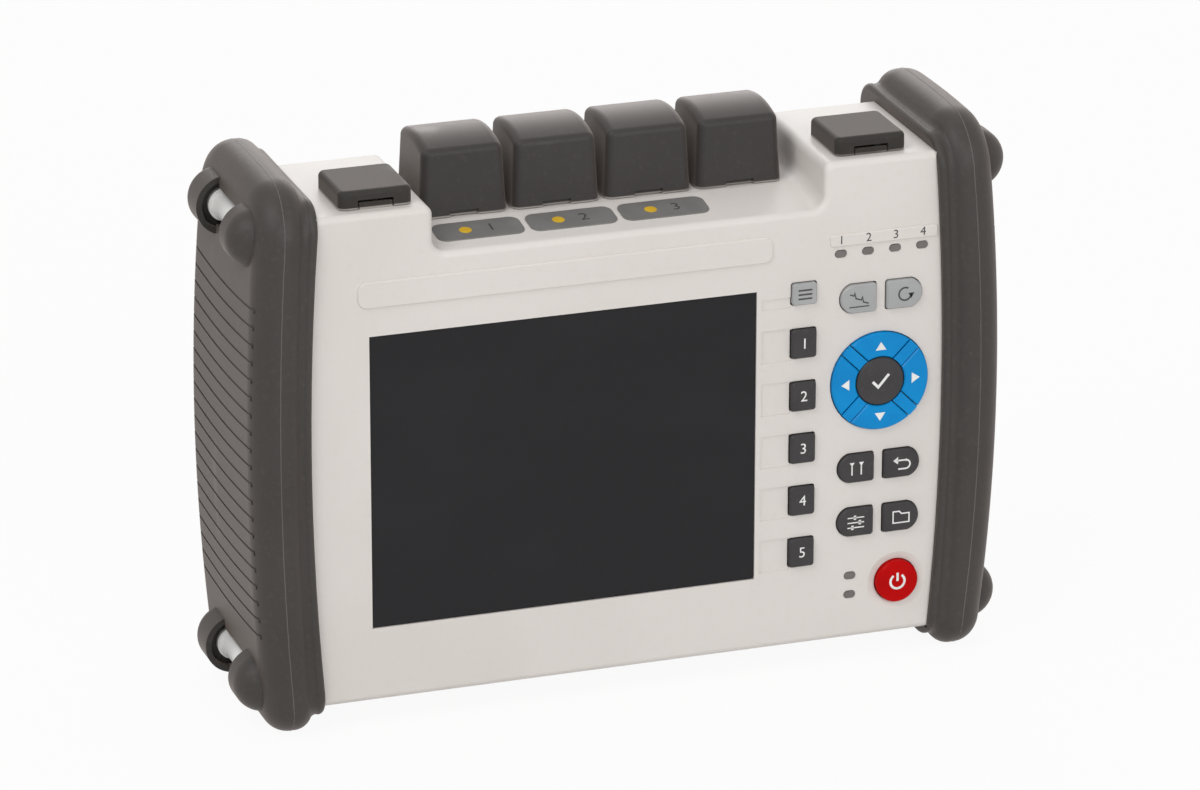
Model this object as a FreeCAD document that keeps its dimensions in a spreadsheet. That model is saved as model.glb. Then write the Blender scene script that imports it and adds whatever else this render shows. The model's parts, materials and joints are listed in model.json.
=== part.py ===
# Handheld optical time domain reflectometer: a white two-piece housing with rubber end bumpers,
# four hinged port caps on its saddle, two service caps, a display, a keypad and a rear stand.
# Frame: X to the right, Y to the back, Z up; origin on the ground, midway between the bumpers.
import FreeCAD, Part
import math
import os
import sys
from types import SimpleNamespace

import Sketcher

V = FreeCAD.Vector
doc = FreeCAD.newDocument("reflectometer")

# ---------------------------------------------------------------- driving sizes (mm, degrees)
sizes = {
    # housing
    "shell_half": 107.0,         # half width of the housing, its ends hidden in the bumpers
    "shell_bottom": 8.0,         # height of the housing's underside
    "shell_top": 162.0,          # top of the two shoulders
    "shell_front": 31.0,         # face plane, ahead of the origin
    "shell_back": 31.0,          # rear plane, behind the origin
    "shell_split": 20.0,         # parting plane between front and rear shell
    "shell_wall": 2.8,
    "shell_round": 2.0,          # rounding of the face's outer edges
    "rear_slope": 12.0,          # drop of the bevel over the rear shell's top edge
    "saddle_half": 61.2,         # half width of the saddle between the shoulders
    "saddle_floor": 150.3,
    "saddle_lip": 147.3,         # floor height at the face, where the ledge slopes down
    "saddle_corner": 4.0,
    "ledge_depth": 20.0,         # front to back length of the sloping ledge
    "hinge_trough": 0.9,         # how far the floor drops behind the port caps
    "fit_gap": 0.15,             # between parts that are assembled tight
    "run_gap": 0.3,              # between parts that move past each other
    # bumpers
    "bumper_height": 172.0,
    "bumper_depth": 73.0,
    "bumper_bow": 2.5,           # how far its front, back and top arch
    "bumper_top_corner": 17.0,     # seen from the side
    "bumper_low_corner": 10.5,
    "bumper_half_mid": 118.2,    # outer face at mid height
    "bumper_half_end": 113.2,    # outer face at top and bottom
    "rim_half_mid": 103.2,       # inner side of the rolled rim at mid height
    "rim_half_end": 98.4,
    "rim_outer_round": 8.0,
    "rim_inner_round": 5.6,
    "flange_half_mid": 99.6,    # inner edge of the thin flange, where it meets the face
    "flange_half_end": 95.0,
    "flange_proud": 2.6,         # flange over the face
    "flange_lap": 4.2,           # flange over the top and under the bottom
    "flange_round": 1.5,
    "flange_corner": 10.0,
    "valley_deep": 1.6,          # valley between the flange's bead and the rolled rim
    "valley_wide": 0.4,
    "groove_count": 20,
    "groove_pitch": 5.4,
    "groove_first": 34.5,        # height of the lowest groove's ends
    "groove_width": 0.9,
    "groove_deep": 0.8,
    "groove_sag": 1.6,
    "groove_half": 31.5,         # half length, front to back
    "groove_hook": 1.8,
    "ear_low": 15.0,             # heights of the strap ears
    "ear_high": 155.2,
    "ear_radius": 9.2,
    "ear_half": 112.6,           # centre line of the ears, from the middle
    "ear_length": 13.0,
    "front_ear": 28.5,           # front end of the front ears, ahead of the origin
    "back_ear": 9.0,             # front end of the back ears, behind the origin
    "ear_round": 4.0,             # rounding of a back ear's far end
    "ear_dome": 7.6,             # and of a front ear's
    "ear_well": 7.4,             # radius of the well in a back ear that the bar's collar sits in
    "ear_well_deep": 2.6,
    "strap_bar_radius": 4.0,
    "strap_collar_radius": 5.2,
    "strap_collar_thick": 1.6,
    "strap_bar_seat": 5.0,       # how far a bar reaches into each ear
    # display
    "window_left": -81.2,
    "window_right": 39.8,
    "window_low": 31.4,
    "window_high": 123.9,
    "window_thick": 1.3,
    "window_ledge": 2.5,
    "window_set_back": 0.5,
    "gasket_thick": 0.7,
    "display_deep": 9.6,
    # keypad
    "key_proud": 1.4,
    "key_travel": 0.8,
    "key_skirt": 0.9,            # width of the lip that keeps a key in the shell
    "key_round": 0.9,
    "key_edge": 0.4,
    "soft_left": 50.8,
    "soft_right": 58.6,
    "soft_tall": 9.1,
    "soft_pitch": 16.87,
    "soft_low": 38.6,            # middle of the lowest soft key
    "menu_tall": 6.8,
    "menu_middle": 121.9,
    "pair_left": 66.3,           # outer edge of the left key of a pair
    "pair_right": 92.5,
    "pair_gap": 3.3,
    "pair_tall": 9.0,
    "pair_top_row": 118.4,
    "pair_mid_row": 63.8,
    "pair_low_row": 46.3,
    "pad_across": 79.3,          # middle of the arrow pad
    "pad_up": 91.2,
    "pad_radius": 15.5,
    "ok_radius": 7.6,
    "spoke_width": 3.6,
    "arrow_clear": 0.3,
    "power_across": 86.0,
    "power_up": 25.1,
    "power_radius": 6.7,
    "dish_radius": 9.4,
    "dish_deep": 0.7,
    "lens_long": 4.0,
    "lens_tall": 2.2,
    "lens_first": 66.4,
    "lens_pitch": 8.7,
    "lens_row": 133.0,
    "charge_across": 70.8,
    "charge_low": 22.4,
    "charge_pitch": 6.2,
    "name_half": 64.6,
    "name_middle": -20.0,
    "name_up": 136.9,
    "name_tall": 8.2,
    "pad_proud": 0.6,            # height of the low pads on the face
    "pad_corner": 2.8,
    "pad_edge": 0.4,
    "caption_up": 2.4,           # strip over the status lenses
    "caption_tall": 3.8,
    "caption_left": 3.5,
    "caption_right": 4.8,
    "band_start": 1.6,           # shallow bands from the display to the soft keys
    "band_deep": 0.4,
    "band_below": 0.9,
    "band_above": 0.4,
    "hoop_deep": 1.0,            # hoop that holds the pad's spokes behind the shell
    "hoop_wide": 2.4,
    "board_plane": 17.6,         # front of the main board, ahead of the origin
    "mat_thick": 1.2,
    "board_thick": 1.6,
    # inside
    "board_post": 1.6,
    "post_radius": 4.2,
    "post_neck": 3.0,
    "post_across": 99.0,
    "post_low": 16.5,
    "post_high": 137.5,
    "screw_radius": 1.3,
    "screw_head": 2.8,
    "engine_right": 10.0,
    "engine_wide": 70.0,
    "engine_low": 20.0,
    "engine_tall": 70.0,
    "engine_deep": 20.0,
    "spool_across": 40.0,
    "spool_up": 56.0,
    "spool_deep": 9.0,
    "spool_radius": 30.0,
    "battery_half": 52.0,
    "battery_low": 108.5,
    "battery_high": 141.0,
    "battery_deep": 20.0,
    "tray_wall": 1.6,
    "door_half": 60.0,
    "door_lap": 2.6,
    "door_thick": 1.6,
    # rear stand
    "stand_half": 60.0,
    "stand_low": 22.0,
    "stand_high": 95.0,
    "stand_thick": 3.0,
    "stand_knuckle": 1.9,
    "stand_pin": 1.1,
    "stand_pin_long": 11.0,
    # port caps
    "cap_pitch": 28.9,
    "cap_shift": -1.4,           # middle of the row of port caps, from the middle
    "cap_wide": 27.0,
    "cap_front": 9.6,            # ahead of the origin
    "cap_back": 15.8,            # behind the origin
    "cap_high": 174.4,
    "cap_drop": 2.6,             # how far the crown falls towards the front
    "cap_round": 2.5,
    "cap_wall": 2.0,
    "cap_notch": 9.0,
    "cap_taper": 1.2,            # how much each side of a cap leans in towards its top
    "knuckle_radius": 1.8,
    "knuckle_up": 2.4,
    "knuckle_long": 9.0,
    "lug_thick": 3.0,
    "hinge_pin": 0.8,
    "pin_gap": 0.06,
    # service caps
    "lid_across": 77.3,
    "lid_wide": 22.4,
    "lid_front": 26.8,
    "lid_back": 3.6,             # back edge, ahead of the origin
    "lid_tall": 5.8,
    "lid_wall": 1.6,
    "lid_hollow": 3.0,
    "lid_round": 2.2,
    "lid_knuckle": 1.7,
    "lid_hinge_up": 2.5,
    "lid_knuckle_long": 7.0,
    "lid_lug_thick": 2.0,
    "latch_thick": 0.9,          # tab of the shell in each service cap's notch
    "latch_tall": 1.8,
    "lid_notch": 11.0,
    "lid_notch_tall": 2.6,
    # sockets and labels
    "adapter_radius": 4.4,
    "adapter_tall": 10.5,
    "ferrule_bore": 1.26,
    "ferrule_deep": 8.0,
    "socket_deep": 13.0,
    "flange_wide": 16.0,
    "label_wide": 27.0,
    "adapter_ahead": 2.1,        # adapters, ahead of the caps' middles
    "label_deep": 10.4,
    "label_middle": 19.2,
    "label_thick": 0.4,
    "label_round": 3.0,
    "label_shift": 1.1,          # the plates stand a little right of their caps
}


class Dim:
    """A size with its value and the expression that ties it to the spreadsheet."""

    def __init__(self, value, text):
        self.value = value
        self.text = text

    def __add__(self, other):
        return combine(self, "+", other)

    def __radd__(self, other):
        return combine(other, "+", self)

    def __sub__(self, other):
        return combine(self, "-", other)

    def __rsub__(self, other):
        return combine(other, "-", self)

    def __mul__(self, other):
        return combine(self, "*", other)

    def __rmul__(self, other):
        return combine(other, "*", self)

    def __truediv__(self, other):
        return combine(self, "/", other)

    def __neg__(self):
        return combine(0, "-", self)


def as_dim(number):
    return number if isinstance(number, Dim) else Dim(float(number), repr(float(number)))


def combine(left, sign, right):
    a = as_dim(left)
    b = as_dim(right)
    results = {"+": a.value + b.value, "-": a.value - b.value, "*": a.value * b.value}
    value = a.value / b.value if sign == "/" else results[sign]
    return Dim(value, "(%s %s %s)" % (a.text, sign, b.text))


def make_sheet():
    sheet = doc.addObject("Spreadsheet::Sheet", "Sizes")
    for row, (name, value) in enumerate(sizes.items(), start=1):
        sheet.set("A%d" % row, name)
        sheet.set("B%d" % row, str(value))
        sheet.setAlias("B%d" % row, name)
    doc.recompute()
    return SimpleNamespace(**{name: Dim(value, "Sizes." + name) for name, value in sizes.items()})


s = make_sheet()
parts = []


# ---------------------------------------------------------------- building blocks
def tie(thing, **links):
    for prop, dim in links.items():
        thing.setExpression(prop, as_dim(dim).text)
    return thing


def seat(thing, x, y, z):
    for axis, dim in zip("xyz", (x, y, z)):
        thing.setExpression(".Placement.Base." + axis, as_dim(dim).text)
    return thing


def block(name, x, y, z):
    """Box between the pairs x, y and z."""
    box = doc.addObject("Part::Box", name)
    tie(box, Length=x[1] - x[0], Width=y[1] - y[0], Height=z[1] - z[0])
    return seat(box, x[0], y[0], z[0])


TURNS = {
    "x": FreeCAD.Rotation(V(0, 1, 0), 90),
    "y": FreeCAD.Rotation(V(1, 0, 0), -90),
    "z": FreeCAD.Rotation(),
}


def rod(name, axis, start, radius, length):
    """Cylinder that runs along +axis from the point start."""
    cylinder = doc.addObject("Part::Cylinder", name)
    cylinder.Placement = FreeCAD.Placement(V(), TURNS[axis])
    tie(cylinder, Radius=radius, Height=length)
    return seat(cylinder, *start)


def fuse(name, *pieces):
    if len(pieces) == 1:
        return pieces[0]
    union = doc.addObject("Part::MultiFuse", name)
    union.Shapes = list(pieces)
    return union


def cut(name, base, *tools):
    result = doc.addObject("Part::Cut", name)
    result.Base = base
    result.Tool = fuse(name + "_tool", *tools)
    return result


def common(name, base, tool):
    result = doc.addObject("Part::Common", name)
    result.Base = base
    result.Tool = tool
    return result


def group(name, *pieces):
    """Identical separate solids that share one node."""
    bunch = doc.addObject("Part::Compound", name)
    bunch.Links = list(pieces)
    return bunch


def middle(edge):
    return edge.valueAt((edge.FirstParameter + edge.LastParameter) / 2)


def along(axis, least=0.0):
    """Test for straight edges that run along one axis."""
    def test(edge):
        ends = edge.Vertexes[-1].Point - edge.Vertexes[0].Point
        run = abs(getattr(ends, axis))
        return run > least and run > ends.Length * 0.999 and len(edge.Vertexes) > 1
    return test


def rounded(name, base, radius, test):
    """Part fillet on every edge of base that passes the test."""
    doc.recompute()
    fillet = doc.addObject("Part::Fillet", name)
    fillet.Base = base
    size = as_dim(radius).value
    fillet.Edges = [(i, size, size) for i, edge in enumerate(base.Shape.Edges, start=1) if test(edge)]
    return fillet


def bevelled(name, base, size, test):
    """Part chamfer on every edge of base that passes the test."""
    doc.recompute()
    chamfer = doc.addObject("Part::Chamfer", name)
    chamfer.Base = base
    size = as_dim(size).value
    chamfer.Edges = [(i, size, size) for i, edge in enumerate(base.Shape.Edges, start=1) if test(edge)]
    return chamfer


def finish(name, thing):
    """The finished sub-part takes its node's name."""
    thing.Label = name
    parts.append(thing)
    return thing


PLANES = {"xz": "XZ_Plane", "yz": "YZ_Plane", "xy": "XY_Plane"}


def new_sketch(body, name, plane, offset):
    """Sketch on one of the body's own planes, moved along its normal by offset."""
    sketch = body.newObject("Sketcher::SketchObject", name)
    origin = next(f for f in body.Origin.OriginFeatures if f.Role == PLANES[plane])
    sketch.AttachmentSupport = (origin, "")
    sketch.MapMode = "FlatFace"
    sketch.setExpression(".AttachmentOffset.Base.z", as_dim(offset).text)
    return sketch


def arc_between(a, b, radius):
    """Arc from a to b; a positive radius has its centre to the left of the way from a to b."""
    chord = b - a
    half = chord.Length / 2
    size = max(abs(radius), half * 1.0001)
    side = V(-chord.y, chord.x, 0).normalize() * math.copysign(1, radius)
    centre = a + chord * 0.5 + side * math.sqrt(size * size - half * half)
    circle = Part.Circle(centre, V(0, 0, 1), size)
    start = math.atan2(a.y - centre.y, a.x - centre.x)
    end = math.atan2(b.y - centre.y, b.x - centre.x)
    if radius > 0:
        return Part.ArcOfCircle(circle, start, end), (1, 2)
    return Part.ArcOfCircle(circle, end, start), (2, 1)


def draw(sketch, outline):
    """Closed outline of corners (u, v) or (u, v, radius), where the radius bends the edge that follows."""
    spots = [V(as_dim(p[0]).value, as_dim(p[1]).value, 0) for p in outline]
    ends = []
    for i, corner in enumerate(outline):
        a = spots[i]
        b = spots[(i + 1) % len(spots)]
        if len(corner) == 3:
            shape, order = arc_between(a, b, as_dim(corner[2]).value)
        else:
            shape, order = Part.LineSegment(a, b), (1, 2)
        sketch.addGeometry(shape, False)
        ends.append(order)
    for i, corner in enumerate(outline):
        after = (i + 1) % len(outline)
        sketch.addConstraint(Sketcher.Constraint("Coincident", i, ends[i][1], after, ends[after][0]))
        for kind, dim in (("DistanceX", corner[0]), ("DistanceY", corner[1])):
            value = as_dim(dim).value
            number = sketch.addConstraint(Sketcher.Constraint(kind, -1, 1, i, ends[i][0], value))
            sketch.setExpression("Constraints[%d]" % number, as_dim(dim).text)
        if len(corner) == 3:
            radius = as_dim(corner[2])
            number = sketch.addConstraint(Sketcher.Constraint("Radius", i, abs(radius.value)))
            sketch.setExpression("Constraints[%d]" % number, "abs(%s)" % radius.text)


def prism(name, plane, offset, depth, outline):
    """PartDesign body: an outline drawn on one plane and padded back against the plane's normal."""
    body = doc.addObject("PartDesign::Body", name)
    sketch = new_sketch(body, name + "_sketch", plane, offset)
    draw(sketch, outline)
    pad = body.newObject("PartDesign::Pad", name + "_pad")
    pad.Profile = sketch
    tie(pad, Length=depth)
    pad.Reversed = True
    return body


def thicken(body, name, plane, offset, depth, outline):
    """One more pad on the same body."""
    sketch = new_sketch(body, name + "_sketch", plane, offset)
    draw(sketch, outline)
    pad = body.newObject("PartDesign::Pad", name)
    pad.Profile = sketch
    tie(pad, Length=depth)
    pad.Reversed = True
    return body


def round_edges(body, name, radius, test):
    """PartDesign fillet on the edges of the body's tip that pass the test."""
    doc.recompute()
    tip = body.Tip
    names = ["Edge%d" % i for i, edge in enumerate(tip.Shape.Edges, start=1) if test(edge)]
    fillet = body.newObject("PartDesign::Fillet", name)
    fillet.Base = (tip, names)
    tie(fillet, Radius=radius)
    body.Tip = fillet
    return body


def bevel_edges(body, name, size, test):
    """PartDesign chamfer on the edges of the body's tip that pass the test."""
    doc.recompute()
    tip = body.Tip
    names = ["Edge%d" % i for i, edge in enumerate(tip.Shape.Edges, start=1) if test(edge)]
    chamfer = body.newObject("PartDesign::Chamfer", name)
    chamfer.Base = (tip, names)
    tie(chamfer, Size=size)
    body.Tip = chamfer
    return body


def rectangle(left, right, low, high):
    return [(left, low), (right, low), (right, high), (left, high)]


def sagitta_radius(span, rise):
    """Radius of the arc over a span with the given rise."""
    return (span * span / 4 + rise * rise) / (2 * rise)


# ---------------------------------------------------------------- housing
inner_front = s.shell_front - s.shell_wall
inner_back = s.shell_back - s.shell_wall
saddle_inner = s.saddle_lip - s.shell_wall - 1
ledge_rise = (s.saddle_floor - s.saddle_lip) / s.ledge_depth


def housing(name, gap):
    """Outer form of the closed housing, grown by gap."""
    half = s.shell_half + gap
    front = s.shell_front + gap
    back = s.shell_back + gap
    top = s.shell_top + gap
    body = prism(name + "_end", "xz", front, front + back, rectangle(-half, half, s.shell_bottom - gap, top))
    saddle = prism(name + "_saddle", "yz", s.saddle_half - gap, 2 * (s.saddle_half - gap), [
        (-s.shell_front - 2, s.saddle_lip - 2 * ledge_rise + gap),
        (s.ledge_depth - s.shell_front, s.saddle_floor + gap),
        (s.cap_back - 0.6, s.saddle_floor + gap),
        (s.cap_back - 0.6, s.saddle_floor - s.hinge_trough + gap),
        (back + 1, s.saddle_floor - s.hinge_trough + gap),
        (back + 1, top + 5),
        (-front - 1, top + 5),
    ])
    low = s.saddle_floor.value + 1
    wall = (s.saddle_half - gap).value
    round_edges(saddle, name + "_saddle_round", s.saddle_corner, lambda e: (
        middle(e).z < low and abs(abs(middle(e).x) - wall) < 0.01 and middle(e).y < s.cap_back.value - 1))
    bevel = prism(name + "_bevel", "yz", half + 1, 2 * half + 2, [
        (s.shell_split, top + 0.01),
        (back + 0.01, top - s.rear_slope),
        (back + 5, top - s.rear_slope),
        (back + 5, top + 5),
        (s.shell_split, top + 5),
    ])
    block_form = cut(name, body, saddle, bevel)
    return block_form


def face_edges(edge):
    """Outer edges of the face, and the shoulders' edges over the saddle."""
    m = middle(edge)
    on_face = all(abs(v.Point.y + s.shell_front.value) < 0.01 for v in edge.Vertexes)
    return on_face and m.z > s.shell_bottom.value - 1


def shoulder_edges(edge):
    m = middle(edge)
    at_wall = abs(abs(m.x) - s.saddle_half.value) < 0.01
    return at_wall and m.z > s.shell_top.value - 0.01 and m.y < s.shell_split.value


outer = rounded("housing_form", rounded("housing_shoulders", housing("housing", 0), 2.6, shoulder_edges),
                s.shell_round, face_edges)

# ---------------------------------------------------------------- shared places
soft_middles = [s.soft_low + s.soft_pitch * (4 - i) for i in range(5)]
cap_places = [s.cap_pitch * (i - 1.5) + s.cap_shift for i in range(4)]
lens_places = [s.lens_first + s.lens_pitch * i for i in range(4)]
pair_split = (s.pair_left + s.pair_right) / 2
key_back = inner_front - s.run_gap - s.key_skirt
mat_front = key_back - s.key_travel - s.run_gap
board_front = mat_front - s.mat_thick
hinge_y = s.cap_back + s.knuckle_radius + s.run_gap
hinge_z = s.saddle_floor + s.knuckle_up
lid_hinge_y = -s.lid_back + s.lid_knuckle + s.run_gap
lid_hinge_z = s.shell_top + s.lid_hinge_up
cap_bottom = s.saddle_floor + s.run_gap
lid_bottom = s.shell_top + s.run_gap
post_places = [(side * s.post_across, up) for side in (-1, 1) for up in (s.post_low, s.post_high)]
board_posts = [(across, up) for across in ((s.soft_right + s.pair_left) / 2, s.pair_right)
               for up in ((s.pair_mid_row + s.pair_low_row) / 2,
                          (s.pair_top_row + s.pad_up) / 2 + s.key_skirt * 5)]
adapter_y = (s.cap_back - s.cap_front) / 2 - s.adapter_ahead
socket_y = -(s.lid_front + s.lid_back) / 2


def pad_rims(edge):
    front = -s.shell_front.value - s.pad_proud.value
    return all(abs(v.Point.y - front) < 0.001 for v in edge.Vertexes)


def face_pads():
    """Two low pads on the face: the blank name strip over the display and the one over the status lenses."""
    low = s.name_up - s.name_tall / 2
    high = s.name_up + s.name_tall / 2
    name_pad = prism("name_pad", "xz", s.shell_front + s.pad_proud, s.pad_proud + 1, rectangle(
        s.name_middle - s.name_half, s.name_middle + s.name_half, low, high))
    round_edges(name_pad, "name_pad_round", s.pad_corner, along("y", 1))
    round_edges(name_pad, "name_pad_edge", s.pad_edge, pad_rims)
    low = s.lens_row + s.caption_up
    lens_pad = prism("lens_pad", "xz", s.shell_front + s.pad_proud, s.pad_proud + 1, rectangle(
        s.lens_first - s.caption_left, s.lens_first + s.lens_pitch * 3 + s.caption_right,
        low, low + s.caption_tall))
    round_edges(lens_pad, "lens_pad_round", s.caption_tall / 4, along("y", 1))
    round_edges(lens_pad, "lens_pad_edge", s.pad_edge, pad_rims)
    return name_pad, lens_pad


def rounded_end_outline(left, right, mid, tall, side, grow=0):
    """Key outline with one rounded end; side -1 rounds the left end."""
    low = mid - tall / 2 - grow
    high = mid + tall / 2 + grow
    bend = (tall + 2 * grow) * 0.52
    inset = (tall + 2 * grow) * 0.377
    if side < 0:
        start = left - grow + inset
        return [(start, low), (right + grow, low), (right + grow, high), (start, high, bend)]
    stop = right + grow - inset
    return [(left - grow, low), (stop, low, bend), (stop, high), (left - grow, high)]


def square_outline(left, right, mid, tall, grow=0):
    return rectangle(left - grow, right + grow, mid - tall / 2 - grow, mid + tall / 2 + grow)


pair_keys = {}
for left_name, right_name, row in (("measure_key", "auto_key", s.pair_top_row),
                                   ("marker_key", "back_key", s.pair_mid_row),
                                   ("setup_key", "file_key", s.pair_low_row)):
    pair_keys[left_name] = (s.pair_left, pair_split - s.pair_gap / 2, row, s.pair_tall, -1)
    pair_keys[right_name] = (pair_split + s.pair_gap / 2, s.pair_right, row, s.pair_tall, 1)
square_keys = {"menu_key": (s.soft_left, s.soft_right, s.menu_middle, s.menu_tall)}
for i, up in enumerate(soft_middles, start=1):
    square_keys["soft_key_%d" % i] = (s.soft_left, s.soft_right, up, s.soft_tall)


def key_outline(name, grow=0):
    if name in square_keys:
        return square_outline(*square_keys[name], grow)
    return rounded_end_outline(*pair_keys[name], grow)


# ---------------------------------------------------------------- front shell
def shell_openings():
    """Everything that is cut through or into the front shell."""
    tools = []
    face = s.shell_front + 1
    through = s.shell_wall + 2
    tools.append(block("window_recess", (s.window_left, s.window_right),
                       (-face, -s.shell_front + s.window_set_back + s.window_thick + s.fit_gap),
                       (s.window_low, s.window_high)))
    tools.append(block("window_opening", (s.window_left + s.window_ledge, s.window_right - s.window_ledge),
                       (-face, -inner_front + 1),
                       (s.window_low + s.window_ledge, s.window_high - s.window_ledge)))
    for name in list(square_keys) + list(pair_keys):
        hole = prism(name + "_hole", "xz", face, through, key_outline(name, s.run_gap))
        tools.append(round_edges(hole, name + "_hole_round", s.key_round, along("y", 1)))
    pad_centre = (s.pad_across, -face, s.pad_up)
    tools.append(rod("pad_hole", "y", pad_centre, s.pad_radius + s.run_gap, through))
    power_centre = (s.power_across, -face, s.power_up)
    tools.append(rod("power_hole", "y", power_centre, s.power_radius + s.run_gap, through))
    dish = doc.addObject("Part::Cone", "power_dish")
    dish.Placement = FreeCAD.Placement(V(), TURNS["y"])
    tie(dish, Radius1=s.dish_radius, Radius2=s.power_radius + s.run_gap, Height=s.dish_deep)
    tools.append(seat(dish, s.power_across, -s.shell_front - 0.01, s.power_up))
    for i, across in enumerate(lens_places):
        tools.append(lens("lens_hole_%d" % i, across, s.lens_row, face, through, s.fit_gap))
    for i in range(2):
        up = s.charge_low + s.charge_pitch * i
        tools.append(lens("charge_hole_%d" % i, s.charge_across, up, face, through, s.fit_gap))
    band = (s.window_right + s.band_start, s.soft_left)
    depth = (-face, -s.shell_front + s.band_deep)
    for i, up in enumerate(soft_middles):
        tools.append(block("soft_band_%d" % i, band, depth, (up - s.soft_tall / 2 - s.band_below,
                                                             up + s.soft_tall / 2 + s.band_above)))
    low = s.menu_middle - s.menu_tall / 2 - s.band_below
    tools.append(block("menu_band", band, depth, (low, low + s.menu_tall / 2)))
    for i, across in enumerate(cap_places):
        start = (across, adapter_y, s.saddle_lip - s.shell_wall - 4)
        tools.append(rod("adapter_hole_%d" % i, "z", start, s.adapter_radius + s.fit_gap, 12))
    tools.append(block("data_hole", (-s.lid_across - 7.5 - s.fit_gap, -s.lid_across + 7.5 + s.fit_gap),
                       (socket_y - 4.3 - s.fit_gap, socket_y + 4.3 + s.fit_gap),
                       (s.shell_top - s.shell_wall - 1, s.shell_top + 1)))
    tools.append(rod("power_socket_hole", "z", (s.lid_across, socket_y, s.shell_top - s.shell_wall - 1),
                     5.5 + s.fit_gap, s.shell_wall + 2))
    return tools


def lens(name, across, up, front, depth, grow):
    """Pill-shaped prism: two straight sides and two round ends."""
    half = s.lens_tall / 2 + grow
    reach = s.lens_long / 2 - s.lens_tall / 2
    bend = half * 1.02
    return prism(name, "xz", front, depth, [
        (across - reach, up - half), (across + reach, up - half, bend),
        (across + reach, up + half), (across - reach, up + half, bend)])


def cavity(name):
    half = s.shell_half - s.shell_wall
    main = block(name + "_main", (-half, half), (-inner_front, inner_back),
                 (s.shell_bottom + s.shell_wall, saddle_inner))
    top = s.shell_top - s.shell_wall
    inner = s.saddle_half + s.shell_wall
    left = block(name + "_left", (-half, -inner), (-inner_front, s.shell_split - s.shell_wall),
                 (saddle_inner - 1, top))
    right = block(name + "_right", (inner, half), (-inner_front, s.shell_split - s.shell_wall),
                  (saddle_inner - 1, top))
    return fuse(name, main, left, right)


def cap_lugs():
    lugs = []
    for i, across in enumerate(cap_places):
        for side in (-1, 1):
            near = across + side * (s.knuckle_long / 2 + s.run_gap)
            far = near + side * s.lug_thick
            x = (near, far) if side > 0 else (far, near)
            lug = block("cap_lug_%d_%d" % (i, side + 1), x,
                        (hinge_y - s.knuckle_radius, hinge_y + s.knuckle_radius),
                        (s.saddle_floor - s.shell_wall, hinge_z))
            head = rod("cap_lug_head_%d_%d" % (i, side + 1), "x", (x[0], hinge_y, hinge_z),
                       s.knuckle_radius, s.lug_thick)
            lugs += [lug, head]
    return lugs


def lid_lugs():
    """Two lugs and a latch tab for each service cap."""
    lugs = []
    radius = s.lid_knuckle - s.run_gap
    for n, across in (("left", -s.lid_across), ("right", s.lid_across)):
        for side in (-1, 1):
            near = across + side * (s.lid_knuckle_long / 2 + s.run_gap)
            far = near + side * s.lid_lug_thick
            x = (near, far) if side > 0 else (far, near)
            lug = block("%s_lid_lug_%d" % (n, side + 1), x, (lid_hinge_y - radius, lid_hinge_y + radius),
                        (s.shell_top - 1, lid_hinge_z))
            head = rod("%s_lid_lug_head_%d" % (n, side + 1), "x", (x[0], lid_hinge_y, lid_hinge_z), radius,
                       s.lid_lug_thick)
            lugs += [lug, head]
        half = s.lid_notch / 2 - 2 * s.run_gap
        front = -s.lid_front + s.run_gap
        lugs.append(block(n + "_latch", (across - half, across + half), (front, front + s.latch_thick),
                          (s.shell_top - 1, s.shell_top + s.latch_tall)))
    return lugs


def hinge_bores():
    bore = s.hinge_pin + 0.03
    cap_bores = [rod("cap_bore_%d" % i, "x", (across - 10, hinge_y, hinge_z), bore, 20)
                 for i, across in enumerate(cap_places)]
    lid_bores = [rod("lid_bore_%d" % i, "x", (across - 8, lid_hinge_y, lid_hinge_z), bore, 16)
                 for i, across in enumerate((-s.lid_across, s.lid_across))]
    return cap_bores + lid_bores


def posts():
    pillars = [rod("board_post_%d" % i, "y", (across, -inner_front - 0.5, up), s.board_post,
                   inner_front + 0.5 - board_front) for i, (across, up) in enumerate(board_posts)]
    for i, (across, up) in enumerate(post_places):
        start = -inner_front - 0.5
        foot = rod("post_foot_%d" % i, "y", (across, start, up), s.post_radius,
                   inner_front + 0.5 - s.board_plane)
        neck = rod("post_neck_%d" % i, "y", (across, -s.board_plane - 1, up), s.post_neck,
                   s.board_plane + 1 + inner_back - 0.1)
        pillars += [foot, neck]
    return pillars


def post_bores():
    return [rod("post_bore_%d" % i, "y", (across, 13, up), s.screw_radius + 0.05, 18)
            for i, (across, up) in enumerate(post_places)]


def make_front_shell():
    front_half = block("front_half", (-s.shell_half - 5, s.shell_half + 5),
                       (-s.shell_front - 5, s.shell_split), (0, s.shell_top + 5))
    form = common("front_form", outer, front_half)
    hollow = cut("front_hollow", form, cavity("front_cavity"))
    added = fuse("front_added", hollow, *posts(), *cap_lugs(), *lid_lugs(), *face_pads())
    shell = cut("front_shell", added, *shell_openings(), *hinge_bores(), *post_bores())
    return finish("front_shell", shell)


# ---------------------------------------------------------------- rear shell
recess_floor = s.shell_back - 2 * s.stand_knuckle - 0.2 - s.run_gap
stand_axis_y = s.shell_back - 0.2 - s.stand_knuckle
stand_axis_z = s.stand_high - s.stand_knuckle
battery_y = inner_back - 0.1 - s.battery_deep


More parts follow.
